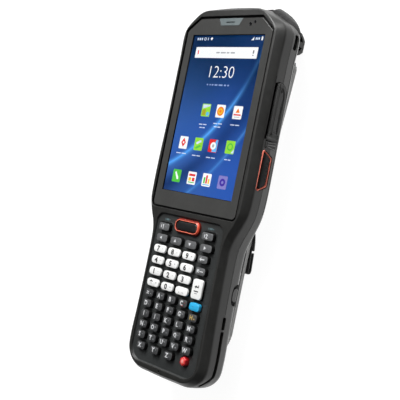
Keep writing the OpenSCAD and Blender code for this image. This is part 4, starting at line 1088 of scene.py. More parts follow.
# row 2
tile(-17.6, -16.4, "white"); ui_poly([(-17.6, -13.8), (-15.8, -16.3), (-17.6, -18.8), (-19.4, -16.3)], "red", 2); ui_bar(-17.6, -16.3, 1.1, 1.1, "white", 3, 0.1)
tile(-5.95, -16.3, "lime"); ui_poly([(-8.0, -15.5), (-4.6, -13.9), (-4.0, -15.0), (-7.4, -16.6)], "soft", 2); ui_poly([(-8.0, -18.1), (-4.6, -16.5), (-4.0, -17.5), (-7.4, -19.1)], "green", 3)
tile(4.9, -16.3, "red"); ui_poly([(4.4, -19.5), (7.9, -19.5), (7.9, -13.0), (6.6, -13.0)], "sky", 2); ui_disc(5.0, -16.3, 2.0, "white", 3); ui_bar(5.0, -16.3, 1.5, 1.6, "grey", 4, 0.2)
tile(17.15, -16.0, "lime"); ui_disc(17.1, -15.8, 2.0, "green", 2); ui_disc(17.1, -15.8, 1.25, "lime", 3); ui_poly([(18.2, -19.0), (20.1, -19.0), (20.1, -16.6)], "soft", 4)
label(-17.8, -22.3, (8.0,)); label(-6.1, -22.6, (6.6,)); label(4.8, -22.7, (7.0,)); label(17.0, -22.6, (4.6,))
# row 3
tile(-17.7, -34.85, "green"); ui_poly([(-19.3, -33.1), (-18.5, -32.4), (-16.2, -35.6), (-16.1, -36.7), (-17.2, -36.8)], "white", 2)
tile(-5.9, -34.85, "white"); ui_bar(-5.9, -33.2, 4.6, 1.2, "red", 2, 0.1); ui_bar(-7.2, -35.5, 2.0, 1.9, "yellow", 2, 0.1); ui_bar(-4.6, -35.5, 1.9, 1.9, "red", 2, 0.1); ui_bar(-5.9, -37.2, 4.6, 0.5, "green", 2, 0.1)
tile(5.2, -34.6, "white"); ui_bar(3.6, -34.9, 1.2, 3.2, "green", 2, 0.1); ui_bar(5.2, -34.3, 1.2, 4.4, "red", 2, 0.1); ui_bar(6.8, -35.2, 1.2, 2.6, "yellow", 2, 0.1)
ui_bar(5.2, -37.2, 4.8, 0.5, "sky", 2, 0.1)
tile(16.7, -34.55, "lilac"); ui_disc(16.7, -34.55, 2.0, "violet", 2); ui_disc(16.7, -34.55, 0.8, "lilac", 3)

me = bpy.data.meshes.new("display_picture")
me.from_pydata(ui_v, [], ui_f)
ui = obj_from(me, "display_picture")
for nm in ui_names:
    me.materials.append(UI[nm])
for p, mi in zip(me.polygons, ui_m):
    p.material_index = mi
bm = bmesh.new(); bm.from_mesh(me)
for f in bm.faces:
    if f.normal.z < 0:
        f.normal_flip()
bmesh.ops.triangulate(bm, faces=bm.faces)
bm.to_mesh(me); bm.free()
me.transform(PLACE); me.update()
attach(ui, "housing")

# ---------------------------------------------------------------- earpiece and sensor lenses
s = Soup()
s.profile(rpoly([(-8.6, 52.35), (-8.6, 51.95), (-6.45, 48.3), (6.45, 48.3), (8.6, 51.95), (8.6, 52.35)], [0.1, 0.4, 0.4, 0.4, 0.4, 0.1], 4), [(0, -0.65), (0, 0.14), (0.12, 0.25), (0.2, 0.25)])
ear = obj_from(mesh_from(s), "ear")
cut = Soup()
cut.prism(rrect(0, 50.1, 5.6, 0.6, 0.29, 5), -0.35, 2)
boolean(ear, cut)
cut = Soup()
for k in range(9):
    cut.prism([(-3.0 + k * 0.75 + 0.2 * math.cos(a), 50.1 + 0.2 * math.sin(a)) for a in np.linspace(0, 2 * math.pi, 13)[:-1]], -0.6, 2)
boolean(ear, cut)
finish_piece(ear, "earpiece_insert", [TEAL], "housing", "grille_teal", ["earpiece_grille"], sharp=35)
s = Soup()
for cx, cy, r in ((14.6, 48.9, 1.0), (17.6, 50, 0.8)):
    circ = [(cx + r * math.cos(a), cy + r * math.sin(a)) for a in np.linspace(0, 2 * math.pi, 33)[:-1]]
    s.profile(circ, [(0, -0.65), (0, 0.2), (0.1, 0.33), (0.25, 0.31), (0.45, 0.27), (0.62, 0.25)])
piece("sensor_windows", s, [LENS], "housing", "lens_black", replaces=["sensor_lenses"], sharp=40)

# ---------------------------------------------------------------- key caps
def glyph(kind, s=1.0):
    """Plain symbols, as closed outlines about their centre, one unit tall."""
    if kind == "up": return [[(-0.5, -0.36), (0.5, -0.36), (0, 0.5)]]
    if kind == "down": return [[(-0.5, 0.36), (0, -0.5), (0.5, 0.36)]]
    if kind == "left": return [[(0.36, -0.5), (0.36, 0.5), (-0.5, 0)]]
    if kind == "right": return [[(-0.36, 0.5), (-0.36, -0.5), (0.5, 0)]]
    if kind == "back": return [[(-0.8, 0), (-0.25, -0.45), (-0.25, -0.13), (0.8, -0.13), (0.8, 0.13), (-0.25, 0.13), (-0.25, 0.45)]]
    if kind == "enter": return [[(-0.8, -0.12), (-0.25, -0.55), (-0.25, -0.25), (0.8, -0.25), (0.8, 0.5), (0.55, 0.5), (0.55, 0.01), (-0.25, 0.01), (-0.25, 0.31)]]
    if kind == "bar": return [rrect(0, 0, 1.6, 0.3, 0.12, 3)]
    if kind == "dots": return [rrect(-0.45, 0, 0.34, 0.34, 0.16, 3), rrect(0.15, 0, 0.34, 0.34, 0.16, 3)]
    if kind == "dash": return [rrect(0, 0, 0.8, 0.28, 0.12, 3)]
    if kind == "dot": return [rrect(0, 0, 0.5, 0.5, 0.24, 3)]
    if kind == "tick": return [rrect(0, 0, 0.3, 0.9, 0.12, 3)]
    if kind == "box": return [rrect(0, 0.0, 0.95, 0.75, 0.15, 3)]
    if kind == "cross": return [[(-0.5, -0.34), (-0.34, -0.5), (0, -0.16), (0.34, -0.5), (0.5, -0.34), (0.16, 0), (0.5, 0.34), (0.34, 0.5), (0, 0.16), (-0.34, 0.5), (-0.5, 0.34), (-0.16, 0)]]
    if kind == "power":
        arc = [(0.42 * math.cos(a), 0.42 * math.sin(a)) for a in np.linspace(math.radians(125), math.radians(415), 22)]
        inn = [(0.27 * math.cos(a), 0.27 * math.sin(a)) for a in np.linspace(math.radians(415), math.radians(125), 22)]
        return [arc + inn, rrect(0, 0.34, 0.17, 0.55, 0.06, 3)]
    return []


class Legend:
    """Flat outlines laid on a key, then given a small thickness."""
    def __init__(self):
        self.items = []          # (verts, faces, material index)

    def poly(self, polys, cx, cy, s, mi, sx=1.0):
        for p in polys:
            self.items.append(([(cx + x * s * sx, cy + y * s) for x, y in p], [tuple(range(len(p)))], mi)) if p else None

    def text(self, t, cx, cy, h, mi, **kw):
        v, f = text_mesh(t, h, **kw)
        self.items.append(([(cx + x, cy + y) for x, y, _ in v], f, mi))

    def mesh(self, tree, lift=0.02, thick=0.07, fine=0.55):
        bm = bmesh.new()
        for v, f, mi in self.items:
            vs = [bm.verts.new((x, y, 0)) for x, y in v]
            for q in f:
                try:
                    fc = bm.faces.new([vs[i] for i in q]); fc.material_index = mi
                except ValueError:
                    pass
        bmesh.ops.triangulate(bm, faces=bm.faces)
        for _ in range(3):
            longs = [e for e in bm.edges if e.calc_length() > fine]
            if not longs:
                break
            bmesh.ops.subdivide_edges(bm, edges=longs, cuts=1)
            bmesh.ops.triangulate(bm, faces=bm.faces)
        for f in bm.faces:
            if f.normal.z < 0:
                f.normal_flip()
        for v in bm.verts:
            hit = tree.ray_cast(Vector((v.co.x, v.co.y, 6)), Vector((0, 0, -1)))
            v.co.z = (hit[0].z if hit[0] else 1.5) + lift
        geo = bmesh.ops.extrude_face_region(bm, geom=bm.faces[:])
        top = [g for g in geo["geom"] if isinstance(g, bmesh.types.BMVert)]
        # the old faces stay below, turned over
        new_faces = {g for g in geo["geom"] if isinstance(g, bmesh.types.BMFace)}
        for v in bm.verts:
            if v not in set(top):
                pass
        lows = set(bm.verts) - set(top)
        for v in lows:
            v.co.z -= thick
        bmesh.ops.recalc_face_normals(bm, faces=bm.faces)
        return bm


def cap_soup(soup, outline, z0=-1.3, wall=1.1, draft=0.32, edge=0.5, dome=0.34, top=2.0, steps=(0.86, 0.66, 0.42, 0.2)):
    """Key cap with drafted walls, a rolled edge and a crowned top."""
    shoulder = top - dome
    prof = [(0.0, z0), (0.0, 0.1), (draft, wall), (draft + 0.06, wall + 0.5 * (shoulder - wall)), (draft + 0.22 * edge + 0.06, wall + 0.82 * (shoulder - wall)), (draft + 0.6 * edge, shoulder - 0.02), (draft + edge, shoulder + dome * 0.10)]
    rings = [[(x, y, z) for x, y in inset_poly(outline, d)] for d, z in prof]
    lastr = np.array(rings[-1]); c = lastr[:, :2].mean(0)
    for q in steps:
        p = c + (lastr[:, :2] - c) * q
        zz = shoulder + dome * (0.10 + 0.90 * (1 - q * q))
        rings.append([(x, y, zz) for x, y in p])
    soup.rings(rings)


def key_piece(name, body, caps, mats, node, shade_below_z=None, wall_mat=None, top_z=None, top_mat=None):
    """caps: list of (outline, cap arguments, legend builder). Faces below a given height, or steep faces when no height
    is given, take wall_mat, which the keys use for near-black painted shade on their walls; the crown can have a
    material of its own.
    """
    s = Soup()
    for outline, kw, lg in caps:
        cap_soup(s, outline, **kw)
    me = mesh_from(s, name)
    bm0 = bmesh.new(); bm0.from_mesh(me)
    mats = list(mats)
    bm0.normal_update()
    if wall_mat:
        mats.append(wall_mat)
        for f in bm0.faces:
            if (shade_below_z is not None and f.calc_center_median().z < shade_below_z) or (shade_below_z is None and f.normal.z < 0.35):
                f.material_index = len(mats) - 1
    if top_mat:
        mats.append(top_mat)
        for f in bm0.faces:
            if f.calc_center_median().z > top_z:
                f.material_index = len(mats) - 1
    tree = BVHTree.FromBMesh(bm0)
    L = Legend()
    for outline, kw, lg in caps:
        lg(L)
    if L.items:
        lb = L.mesh(tree)
        tmp = bpy.data.meshes.new("l"); lb.to_mesh(tmp); lb.free()
        bm0.from_mesh(tmp); bpy.data.meshes.remove(tmp)
    bm0.to_mesh(me); bm0.free()
    ob = obj_from(me, name)
    idx = [p.material_index for p in me.polygons]
    me.materials.clear()
    for m in mats:
        me.materials.append(m)
    for p, i in zip(me.polygons, idx):
        p.material_index = i
    me.shade_smooth(); me.set_sharp_from_angle(angle=math.radians(50))
    me.transform(PLACE); me.update()
    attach(ob, body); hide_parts(node)
    return ob


MINOR = ["dot", "dash", "tick", "dots", "box", "bar", "cross"]
SMALL = 0.62
letters = {}
n_minor = 0
# key walls take the near-black painted shade colour: below a set height on the white, enter and blue keys, and on steep
# faces of the dark and letter keys
for nm, body, x, y, w, h, r, kind, lg in KEYS:
    if kind == "letter":
        o = bowed(x, y, w, h, r, 0.10, 5)

        def leg(L, x=x, y=y, lg=lg, k=n_minor):
            tint = {"C": 3, "H": 4}.get(lg, 1)
            if lg == "#":
                L.poly([rrect(-0.62, 0.28, 0.42, 0.42, 0.1, 3), rrect(0.05, 0.28, 0.42, 0.42, 0.1, 3), rrect(-0.62, -0.36, 0.42, 0.42, 0.1, 3), rrect(0.05, -0.36, 0.42, 0.42, 0.1, 3)], x - 0.45, y + 0.1, 1.5, 1)
            else:
                L.text(lg, x - 0.75, y + 0.1, 2.5, 1 if tint != 4 else 4, squeeze=0.95, thin=-0.03)
            L.poly(glyph(MINOR[k % 7]), x + 1.45, y + (0.5 if k % 2 else -0.3), 0.75, 2 if tint == 1 else tint)
            if tint == 3:
                L.poly(glyph("bar"), x + 0.0, y - 1.2, 0.75, 3)
        n_minor += 1
        letters.setdefault(body, []).append((o, dict(draft=0.10, edge=0.22, dome=0.28, wall=1.2), leg))
    elif kind == "white":
        o = bowed(x, y, w, h, r + 0.1, 0.12, 6)

        def leg(L, x=x, y=y, lg=lg, k=n_minor):
            if lg == "*":
                L.text("*", x - 1.2, y + 0.1, 2.5, 1, thin=-0.04)
            elif lg == ".":
                L.poly(glyph("dot"), x - 1.5, y - 0.8, 0.9, 1); L.poly(glyph("bar"), x + 1.2, y - 0.7, 0.8, 2)
            else:
                L.text(lg, x - 0.8, y, 3.0, 1, squeeze=1.05, thin=-0.04)
            if lg != ".":
                L.poly(glyph(MINOR[(k + 2) % 7]), x + 2.5, y + 0.2, 0.7, 2)
        n_minor += 1
        key_piece(nm + "_cap", body, [(o, dict(draft=0.06, edge=0.26, dome=0.24, wall=0.9), leg)], [KEY_WHITE, LEG_DARK, LEG_GREY], nm, shade_below_z=0.9, wall_mat=KEY_WALL_PAINTED_SHADE)
    elif kind == "enter":
        o = rrect(x, y, w, h, r + 0.2, 6)

        def leg(L, x=x, y=y):
            L.poly(glyph("enter"), x - 0.2, y + 1.3, 1.9, 1)
            L.poly(glyph("bar"), x - 0.2, y - 1.1, 2.0, 1); L.poly(glyph("bar"), x - 0.2, y - 2.2, 1.4, 2)
        key_piece(nm + "_cap", body, [(o, dict(draft=0.06, edge=0.28, dome=0.24, wall=0.9), leg)], [KEY_WHITE, LEG_DARK, LEG_GREY], nm, shade_below_z=0.9, wall_mat=KEY_WALL_PAINTED_SHADE)
    elif kind == "dark":
        o = bowed(x, y, w, h, r, 0.08, 6)

        def leg(L, x=x, y=y, lg=lg, nm=nm):
            if lg in "^v<>":
                L.poly(glyph({"^": "up", "v": "down", "<": "left", ">": "right"}[lg]), x - 0.5, y + 0.05, 1.9, 1)
                L.poly(glyph("dash"), x + 2.1, y + 0.1, 0.6, 2)
            elif lg in ("1:", "2:"):
                L.poly(glyph("tick"), x - 1.9, y + 0.05, 1.9, 1); L.text(lg[0], x - 0.4, y + 0.05, 2.4, 1, thin=-0.03); L.poly(glyph("dots"), x + 1.7, y + 0.05, 1.0, 2)
            elif lg == "back":
                L.poly(glyph("back"), x - 0.3, y + 0.05, 2.3, 1)
            elif lg == "esc":
                L.poly(glyph("cross"), x - 1.4, y + 0.05, 1.8, 1); L.poly(glyph("bar"), x + 0.9, y + 0.05, 1.5, 1)
        key_piece(nm + "_cap", body, [(o, dict(draft=0.10, edge=0.22, dome=0.28, wall=1.2), leg)], [KEY_GREY, LEG_WHITE, LEG_GREY], nm, wall_mat=KEY_WALL_PAINTED_SHADE)
    elif kind == "blue":
        o = bowed(x, y, w, h, r, 0.08, 6)
        key_piece(nm + "_cap", body, [(o, dict(draft=0.10, edge=0.24, dome=0.28, wall=1.0),
                                       lambda L, x=x, y=y: L.poly(glyph("dash"), x - 0.6, y + 0.1, 1.3, 1))], [KEY_BLUE, LEG_BLUE], nm, shade_below_z=0.3, wall_mat=KEY_WALL_PAINTED_SHADE)
    elif kind == "red":
        o = rpoly([(x + w / 2 * math.cos(a), y + h / 2 * 1.04 * math.sin(a)) for a in [math.radians(d) for d in (30, 90, 150, 210, 270, 330)]], 1.1, 5)
        # the crown of the power key takes the lighter coral painted highlight
        key_piece(nm + "_cap", body, [(o, dict(draft=0.22, edge=0.75, dome=0.30, wall=1.0),
                                       lambda L, x=x, y=y: L.poly(glyph("power"), x - 0.05, y + 0.05, 2.1, 1))], [KEY_RED, LEG_PINK], nm, top_z=1.74, top_mat=KEY_RED_PAINTED_HIGHLIGHT)
    elif kind == "scan":
        o = rrect(x, y, w, h, r, 8)
        key_piece(nm + "_cap", body, [(o, dict(draft=0.10, edge=0.6, dome=0.20, wall=0.9, top=1.6, steps=(0.9, 0.75, 0.5, 0.2)), lambda L: None)], [SCAN_KEY], nm)
for body, caps in letters.items():
    key_piece(body + "_caps", body, caps, [KEY_DARK, LEG_WHITE, LEG_GREY, LEG_RED, LEG_AMBER], body, wall_mat=KEY_WALL_PAINTED_SHADE)

# orange ring round the scan key
s = Soup()
o = rrect(-0.65, -60.9, 18.8, 8.0, 3.5, 9); inn = rrect(-0.65, -60.9, 16.1, 5.4, 2.35, 9)
ring_o = [(0, -1.6), (0, -0.35), (0.05, 0.3), (0.24, 0.8), (0.52, 1.2), (0.76, 1.44), (0.92, 1.57), (1.04, 1.6)]
ro = [inset_poly(o, d) for d, z in ring_o]
rings = [[(x, y, z) for x, y in p] for p, (d, z) in zip(ro, ring_o)]
i1 = inset_poly(inn, -0.08); i2 = inset_poly(inn, 0.0)
rings += [[(x, y, 1.56) for x, y in i1], [(x, y, 1.45) for x, y in i2], [(x, y, -1.6) for x, y in i2]]
b = len(s.v); n = len(rings[0])
for rr in rings:
    s.v.extend([tuple(map(float, p)) for p in rr])
m = len(rings)
for j in range(m):
    for i in range(n):
        k = (i + 1) % n; jj = (j + 1) % m
        s.f.append((b + j * n + i, b + j * n + k, b + jj * n + k, b + jj * n + i))
# the ring's crest takes the light coral painted highlight, its right-facing walls plain orange and its other walls the
# deep red painted shade
piece("scan_ring", s, [RING_CREST_PAINTED_HIGHLIGHT, RING_WALL_PAINTED_SHADE, ORANGE], "housing", "ring_orange", replaces=["scan_key_ring"], sharp=45, pick=lambda c, n: 0 if c.z > 1.55 and n.z > 0.35 else (2 if n.x > 0.35 and c.x > 5.0 and c.z > 0.7 else 1))

# raised marks on the keypad panel: two small pictograms over the shortcut keys, dark frames round them
s = Soup()
for kx in (NX[0] - 0.2, NX[3] - 0.7):
    fr = rrect(kx, -63.5, 10.0, 6.2, 1.6, 6)
    fi_ = rrect(kx, -63.5, 9.4, 5.6, 1.3, 6)
    n = len(fr); b = len(s.v)
    for poly, z in ((fr, PANEL_Z - 0.1), (fr, PANEL_Z + 0.22), (fi_, PANEL_Z + 0.22), (fi_, PANEL_Z - 0.1)):
        s.v.extend([(x, y, z) for x, y in poly])
    for j in range(4):
        for i in range(n):
            k = (i + 1) % n; jj = (j + 1) % 4
            s.f.append((b + j * n + i, b + j * n + k, b + jj * n + k, b + jj * n + i))
piece("shortcut_frames", s, [PANEL], "housing", "housing_dark", sharp=40)
s = Soup()
for kx in (NX[0] - 0.2, NX[3] - 0.7):
    for poly in (rrect(kx - 0.4, -59.2, 2.2, 1.1, 0.4, 4), rrect(kx + 1.4, -59.2, 0.7, 0.7, 0.3, 4), rrect(kx - 2.1, -59.2, 0.5, 1.1, 0.2, 4)):
        s.prism(poly, PANEL_Z - 0.05, PANEL_Z + 0.06)
piece("panel_marks", s, [LEG_TEAL], "housing", "housing_dark", sharp=40)
# low webs between the key rows
s = Soup()
for yy, x0, x1 in [(-72.5, -22.2, 22.2)] + [(NY(k) - NUM_PY / 2, -22.2, 22.2) for k in range(3)] + [(-97.2, -22.0, 22.0)] + [(LY(k) - LET_PY / 2, -21.6, 21.6) for k in range(5)]:
    s.rings([[(x0, yy - 0.22, PANEL_Z - 0.05), (x0, yy - 0.1, PANEL_Z + 0.16), (x0, yy + 0.1, PANEL_Z + 0.16), (x0, yy + 0.22, PANEL_Z - 0.05)],
             [(x1, yy - 0.22, PANEL_Z - 0.05), (x1, yy - 0.1, PANEL_Z + 0.16), (x1, yy + 0.1, PANEL_Z + 0.16), (x1, yy + 0.22, PANEL_Z - 0.05)]])
piece("panel_webs", s, [PANEL], "housing", "housing_dark", sharp=40)

# ---------------------------------------------------------------- side keys and rings
for sx, side in ((1, "right"), (-1, "left")):
    s = Soup()
    core = rpoly([(-15.45, -4.62), (-35.05, -4.62), (-32.0, -9.4), (-18.5, -9.4)], [0.9] * 4, 5)
    rings = []
    for d, x in ((0, 34.2), (0, 37.25), (0.12, 37.5), (0.38, 37.72), (0.8, 37.82)):
        rings.append([(sx * x, y, z) for y, z in inset_poly(core, d)])
    cx_, cz_ = -25.2, -6.9
    last_ = inset_poly(core, 0.8)
    for q, x in ((0.7, 37.9), (0.35, 37.96)):
        rings.append([(sx * x, cx_ + (y - cx_) * q, cz_ + (z - cz_) * q) for y, z in last_])
    s.rings(rings)
    k = obj_from(mesh_from(s), "side_key")
    cut = Soup()
    for j in range(5):
        y0 = -21.2 - j * 2.0
        cut.prism_x(rpoly([(y0 + 0.25, -5.9), (y0 - 0.25, -5.9), (y0 - 0.25, -8.2), (y0 + 0.25, -8.2)], 0.2, 3), sx * 37.75, sx * 39)
    boolean(k, cut)
    finish_piece(k, "side_key_%s_cap" % side, [SIDE_KEY], "side_key_" + side, "key_black", ["side_key_" + side], sharp=40)

s = Soup()
for sx in (1, -1):
    outer_p = rpoly([(-14.4, -3.35), (-36.5, -3.1), (-32.6, -10.3), (-18.0, -10.05)], [0.7] * 4, 6)
    inner_p = rpoly([(-14.98, -3.87), (-35.85, -3.65), (-32.3, -9.83), (-18.22, -9.6)], [0.6] * 4, 6)
    face = lambda z: 37.15 + 0.6 * min(1.0, max(0.0, (-2.8 - z) / 5.2)) + 0.12 * min(1.0, max(0.0, (-8.0 - z) / 5.4))
    prof = [(outer_p, 0, -9), (outer_p, 0, -0.06), (outer_p, 0.06, 0.02), (outer_p, 0.16, 0.08), (inner_p, -0.16, 0.08), (inner_p, -0.05, 0.04), (inner_p, -0.02, -0.05), (inner_p, -0.02, -9)]
    n = len(outer_p); b = len(s.v)
    for p, d, x in prof:
        s.v.extend([(sx * (face(float(z)) + x if x > -1 else 34.7), float(y), float(z)) for y, z in inset_poly(p, d)])
    m = len(prof)
    for j in range(m):
        for i in range(n):
            kk = (i + 1) % n; jj = (j + 1) % m
            s.f.append((b + j * n + i, b + j * n + kk, b + jj * n + kk, b + jj * n + i))
piece("side_rings", s, [RING_SIDE], "housing", "ring_orange", replaces=["side_key_rings"], sharp=45)

# ---------------------------------------------------------------- socket cover
s = Soup()
cp = rpoly([(-7.58, -4.88), (19.9, -4.88), (19.95, -7.6), (18.75, -9.9), (16.35, -11.7), (12.6, -12.35), (-7.58, -12.35)], [0.6, 1.0, 2.5, 2.5, 2.5, 2.5, 0.6], 4)
rings = []
for d, x in ((0, 36.02), (0, 37.42), (0.15, 37.62), (0.42, 37.72), (1.0, 37.72), (1.25, 37.95), (1.6, 38.05), (2.0, 37.95), (2.2, 37.6), (2.5, 37.52)):
    rings.append([(x, y, z) for y, z in inset_poly(cp, d)])
s.rings(rings)
cov = obj_from(mesh_from(s), "cover")
add = Soup()
# long rib down the middle of the cover, its pull lip, tongue for the socket
add.prism_x(rpoly([(-5.2, -6.9), (14.6, -6.9), (16.0, -7.8), (14.6, -8.9), (-5.2, -8.9)], 0.6, 4), 37.3, 37.95)
add.prism_x(rpoly([(17.8, -5.6), (19.3, -5.6), (19.3, -8.1), (17.8, -9.5)], 0.35, 4), 37.4, 38.1)
add.prism_x(rrect(5, -9.0, 7.6, 2.0, 0.9, 6), 35.4, 36.3)
boolean(cov, add, 'UNION')
add = Soup()
# living hinge: leaf and pleats
add.prism([(36.1, -8.7), (36.1, -6.9), (37.6, -6.9), (37.6, -8.7)], -10.9, -4.5)
boolean(cov, add, 'UNION')
add = Soup()
hc = [(36.9 + (1.13 + 0.08 * math.cos(6 * a)) * math.cos(a), -8.7 + (1.13 + 0.08 * math.cos(6 * a)) * math.sin(a)) for a in np.linspace(0, 2 * math.pi, 49)[:-1]]
add.profile(hc, [(0.2, -11.1), (0, -10.9), (0, -4.6), (0.2, -4.4)])
boolean(cov, add, 'UNION')
finish_piece(cov, "socket_cover", [COVER], "port_cover", "cover_rubber", ["port_cover"], sharp=38)

# fixed end of the living hinge, with its pleats, whose outer faces are painted light grey as a highlight
s = Soup()
for k in range(3):
    y0 = -10.75 - k * 1.15
    sl = (0.75, 0.35, -0.5)[k]
    s.rings([[(37.1, y0 + d + 0.32, z), (37.1, y0 + d - 0.32, z), (37.98, y0 + d - 0.2, z), (38.08, y0 + d, z), (37.98, y0 + d + 0.2, z)] for z, d in ((-10.9, sl), (-4.9, -sl * 0.3))])
s.prism_x(rpoly([(-10.2, -4.3), (-13.6, -4.3), (-13.6, -11.6), (-10.2, -11.6)], 0.5, 4), 37.0, 37.62)
piece("socket_cover_anchor", s, [PLEAT_PAINTED_HIGHLIGHT, COVER], "housing", "cover_rubber", sharp=38, pick=lambda c, n: 0 if c.x > 37.7 else 1)

# ---------------------------------------------------------------- battery
s = Soup()
b, last, n = s.rings([inset_ring(l, 0.06) for l in round_levels([C, D, F, G], [1.7, 2.6], 5)], cap0=False, cap1=False)
strip_cap(s, b)
strip_cap(s, last)
bat = obj_from(mesh_from(s), "battery")
cut = Soup()
cut.profile([(p[0], p[1]) for p in rrect(0, -15.7, 39.1, 12.7, 1.35, 6)], [(0, 130), (0, 160)])
cut.v = [(x, -z, y) for x, y, z in cut.v]
boolean(bat, cut, 'INTERSECT')
add = Soup()
blk = rpoly([(19.1, -9.6), (19.1, -19.2), (16.05, -21.4), (-16.05, -21.4), (-19.1, -19.2), (-19.1, -9.6)], [1.0, 1.2, 1.2, 1.2, 1.2, 1.0], 5)
add.profile(blk, [(0.5, 62.5), (0, 63.0), (0, 134.0)])
add.v = [(x, -z, y) for x, y, z in add.v]
boolean(bat, add, 'UNION')
cut = Soup()
cut.box((-9, -143, -17.6), (9, -138.6, -13.6))
for i in range(4):
    x0 = (i - 1.5) * 4.4
    cut.box((x0 - 1.2, -63.2, -15.8), (x0 + 1.2, -61.5, -11.8))
# shrink-wrap seams of the cell block and finger grooves in the cap
cut.box((-25, -72.2, -9.9), (25, -71.9, -9.3)); cut.box((-25, -124.2, -9.9), (25, -123.9, -9.3))
for k in range(4):
    cut.prism_y(rrect(0, -19.6 + k * 0.75 - 0.4, 26, 0.32, 0.15, 3), -150, -140.6) if k < 2 else None
boolean(bat, cut)
finish_piece(bat, "battery_drawer", [BATTERY], "battery", "battery_case", ["battery_pack"], sharp=34)

# ---------------------------------------------------------------- strap bracket
s = Soup()
legs = [[54.2, -29.7], [53.6, -32.6], [51.6, -35], [49.4, -36.9], [44.6, -36.9], [42.2, -34], [40.4, -29.7]]
hole = [[52.2, -30.8], [51.7, -32.4], [50.4, -33.8], [48.6, -34.6], [46.2, -34.6], [44.0, -33], [43.2, -30.8]]
lo_ = rpoly([tuple(p) for p in legs], [0, 2.5, 2.5, 2.2, 2.2, 2.5, 0], 6)
s.rings([[(20.62 + d0, y, z) for y, z in inset_poly(lo_, i)] for d0, i in ((0, 0.35), (0.1, 0.1), (0.35, 0), (1.8, 0), (2.08, 0.1), (2.18, 0.35))])
s.rings([[(-20.62 - d0, y, z) for y, z in inset_poly(lo_, i)] for d0, i in ((0, 0.35), (0.1, 0.1), (0.35, 0), (1.8, 0), (2.08, 0.1), (2.18, 0.35))])
br = obj_from(mesh_from(s), "bracket")
cut = Soup()
ho = rpoly([tuple(p) for p in hole], [0.6, 1.5, 1.5, 1.2, 1.2, 1.5, 0.6], 5)
cut.prism_x(ho, 15, 30); cut.prism_x(ho, -30, -15)
boolean(br, cut)
add = Soup()
for sx in (1, -1):
    add.prism_x(rpoly([(48.9, -31.5), (46.3, -31.5), (45.9, -36.1), (49.3, -36.1)], 0.5, 4), sx * 21.72 - 1.09, sx * 21.72 + 1.09)
boolean(br, add, 'UNION')
add = Soup()
add.prism_x([(47.6 + 1.4 * math.cos(a), -32.8 + 1.4 * math.sin(a)) for a in np.linspace(0, 2 * math.pi, 33)[:-1]], -21.2, 21.2)
boolean(br, add, 'UNION')
add = Soup()
add.prism(rrect(0, 41.7, 45.5, 2.6, 0.8, 5), -30.9, -29.5)
boolean(br, add, 'UNION')
boolean(br, ground)
finish_piece(br, "strap_arches", [BRACKET], "housing", "bracket_black", ["strap_bracket"], sharp=36)

# ---------------------------------------------------------------- strap
SO = [(45.2, -35.55), (38, -35.45), (22, -34.2), (0, -32.25), (-24, -30.1), (-44, -28.35), (-60, -27.0), (-70, -26.55), (-84, -26.4), (-119, -26.4)]


def along(path, step):
    """Points every step mm along a smooth open curve through the path."""
    P = [np.array(p, float) for p in path]
    P = [2 * P[0] - P[1]] + P + [2 * P[-1] - P[-2]]
    out = []
    for i in range(1, len(P) - 2):
        p0, p1, p2, p3 = P[i - 1], P[i], P[i + 1], P[i + 2]
        n = max(2, int(np.linalg.norm(p2 - p1) / step))
        for k in range(n):
            t = k / n
            out.append(0.5 * ((2 * p1) + (-p0 + p2) * t + (2 * p0 - 5 * p1 + 4 * p2 - p3) * t * t + (-p0 + 3 * p1 - 3 * p2 + p3) * t ** 3))
    out.append(P[-2])
    return np.array(out)


def ribbon(soup, path, half, thick, section, closed=False):
    """Band along a (Y, Z) path. section(u, v, s) gives (x share, height) pairs; half and thick may be functions of the length."""
    P = np.asarray(path, float)
    T = np.gradient(P, axis=0); T /= np.maximum(np.linalg.norm(T, axis=1, keepdims=True), 1e-9)
    N = np.c_[-T[:, 1], T[:, 0]]
    L = np.r_[0, np.cumsum(np.linalg.norm(np.diff(P, axis=0), axis=1))]
    rings = []
    for i in range(len(P)):
        hw = half(P[i][0], L[i] / L[-1]) if callable(half) else half
        th = thick(P[i][0], L[i] / L[-1]) if callable(thick) else thick
        rings.append([(hw * u if abs(u) <= 1 else math.copysign(hw + (abs(u) - 1) * th, u), P[i][0] + N[i][0] * h * th, P[i][1] + N[i][1] * h * th) for u, h in section])
    soup.rings(rings)
    return L[-1]


# padded length: crowned pad with a bound edge and a stitched channel
pad_path = along([(y, z + 1.0) for y, z in SO if y <= 40 and y > -119] + [(-121.5, -25.4)], 2.0)
pad_sec = []
us = [(-1.0, 0.0), (-0.995, 0.30), (-0.965, 0.42), (-0.915, 0.42), (-0.890, 0.30), (-0.868, 0.42), (-0.82, 0.47), (-0.6, 0.49), (-0.3, 0.5), (0, 0.5)]
top = us + [(-u, h) for u, h in reversed(us[:-1])]
pad_sec = top + [(u, -h) for u, h in reversed(top[1:-1])]
s = Soup()
hwf = lambda y, q: 21.5 - 1.5 * max(0.0, min(1.0, (y - 34) / 5.0)) - 3.0 * max(0.0, (-112.0 - y) / 9.5) ** 1.6
ribbon(s, pad_path, hwf, 2.0, pad_sec)
pad = piece("strap_pad", s, [STRAP], "housing", "strap_fabric", replaces=["strap_webbing"], sharp=60)

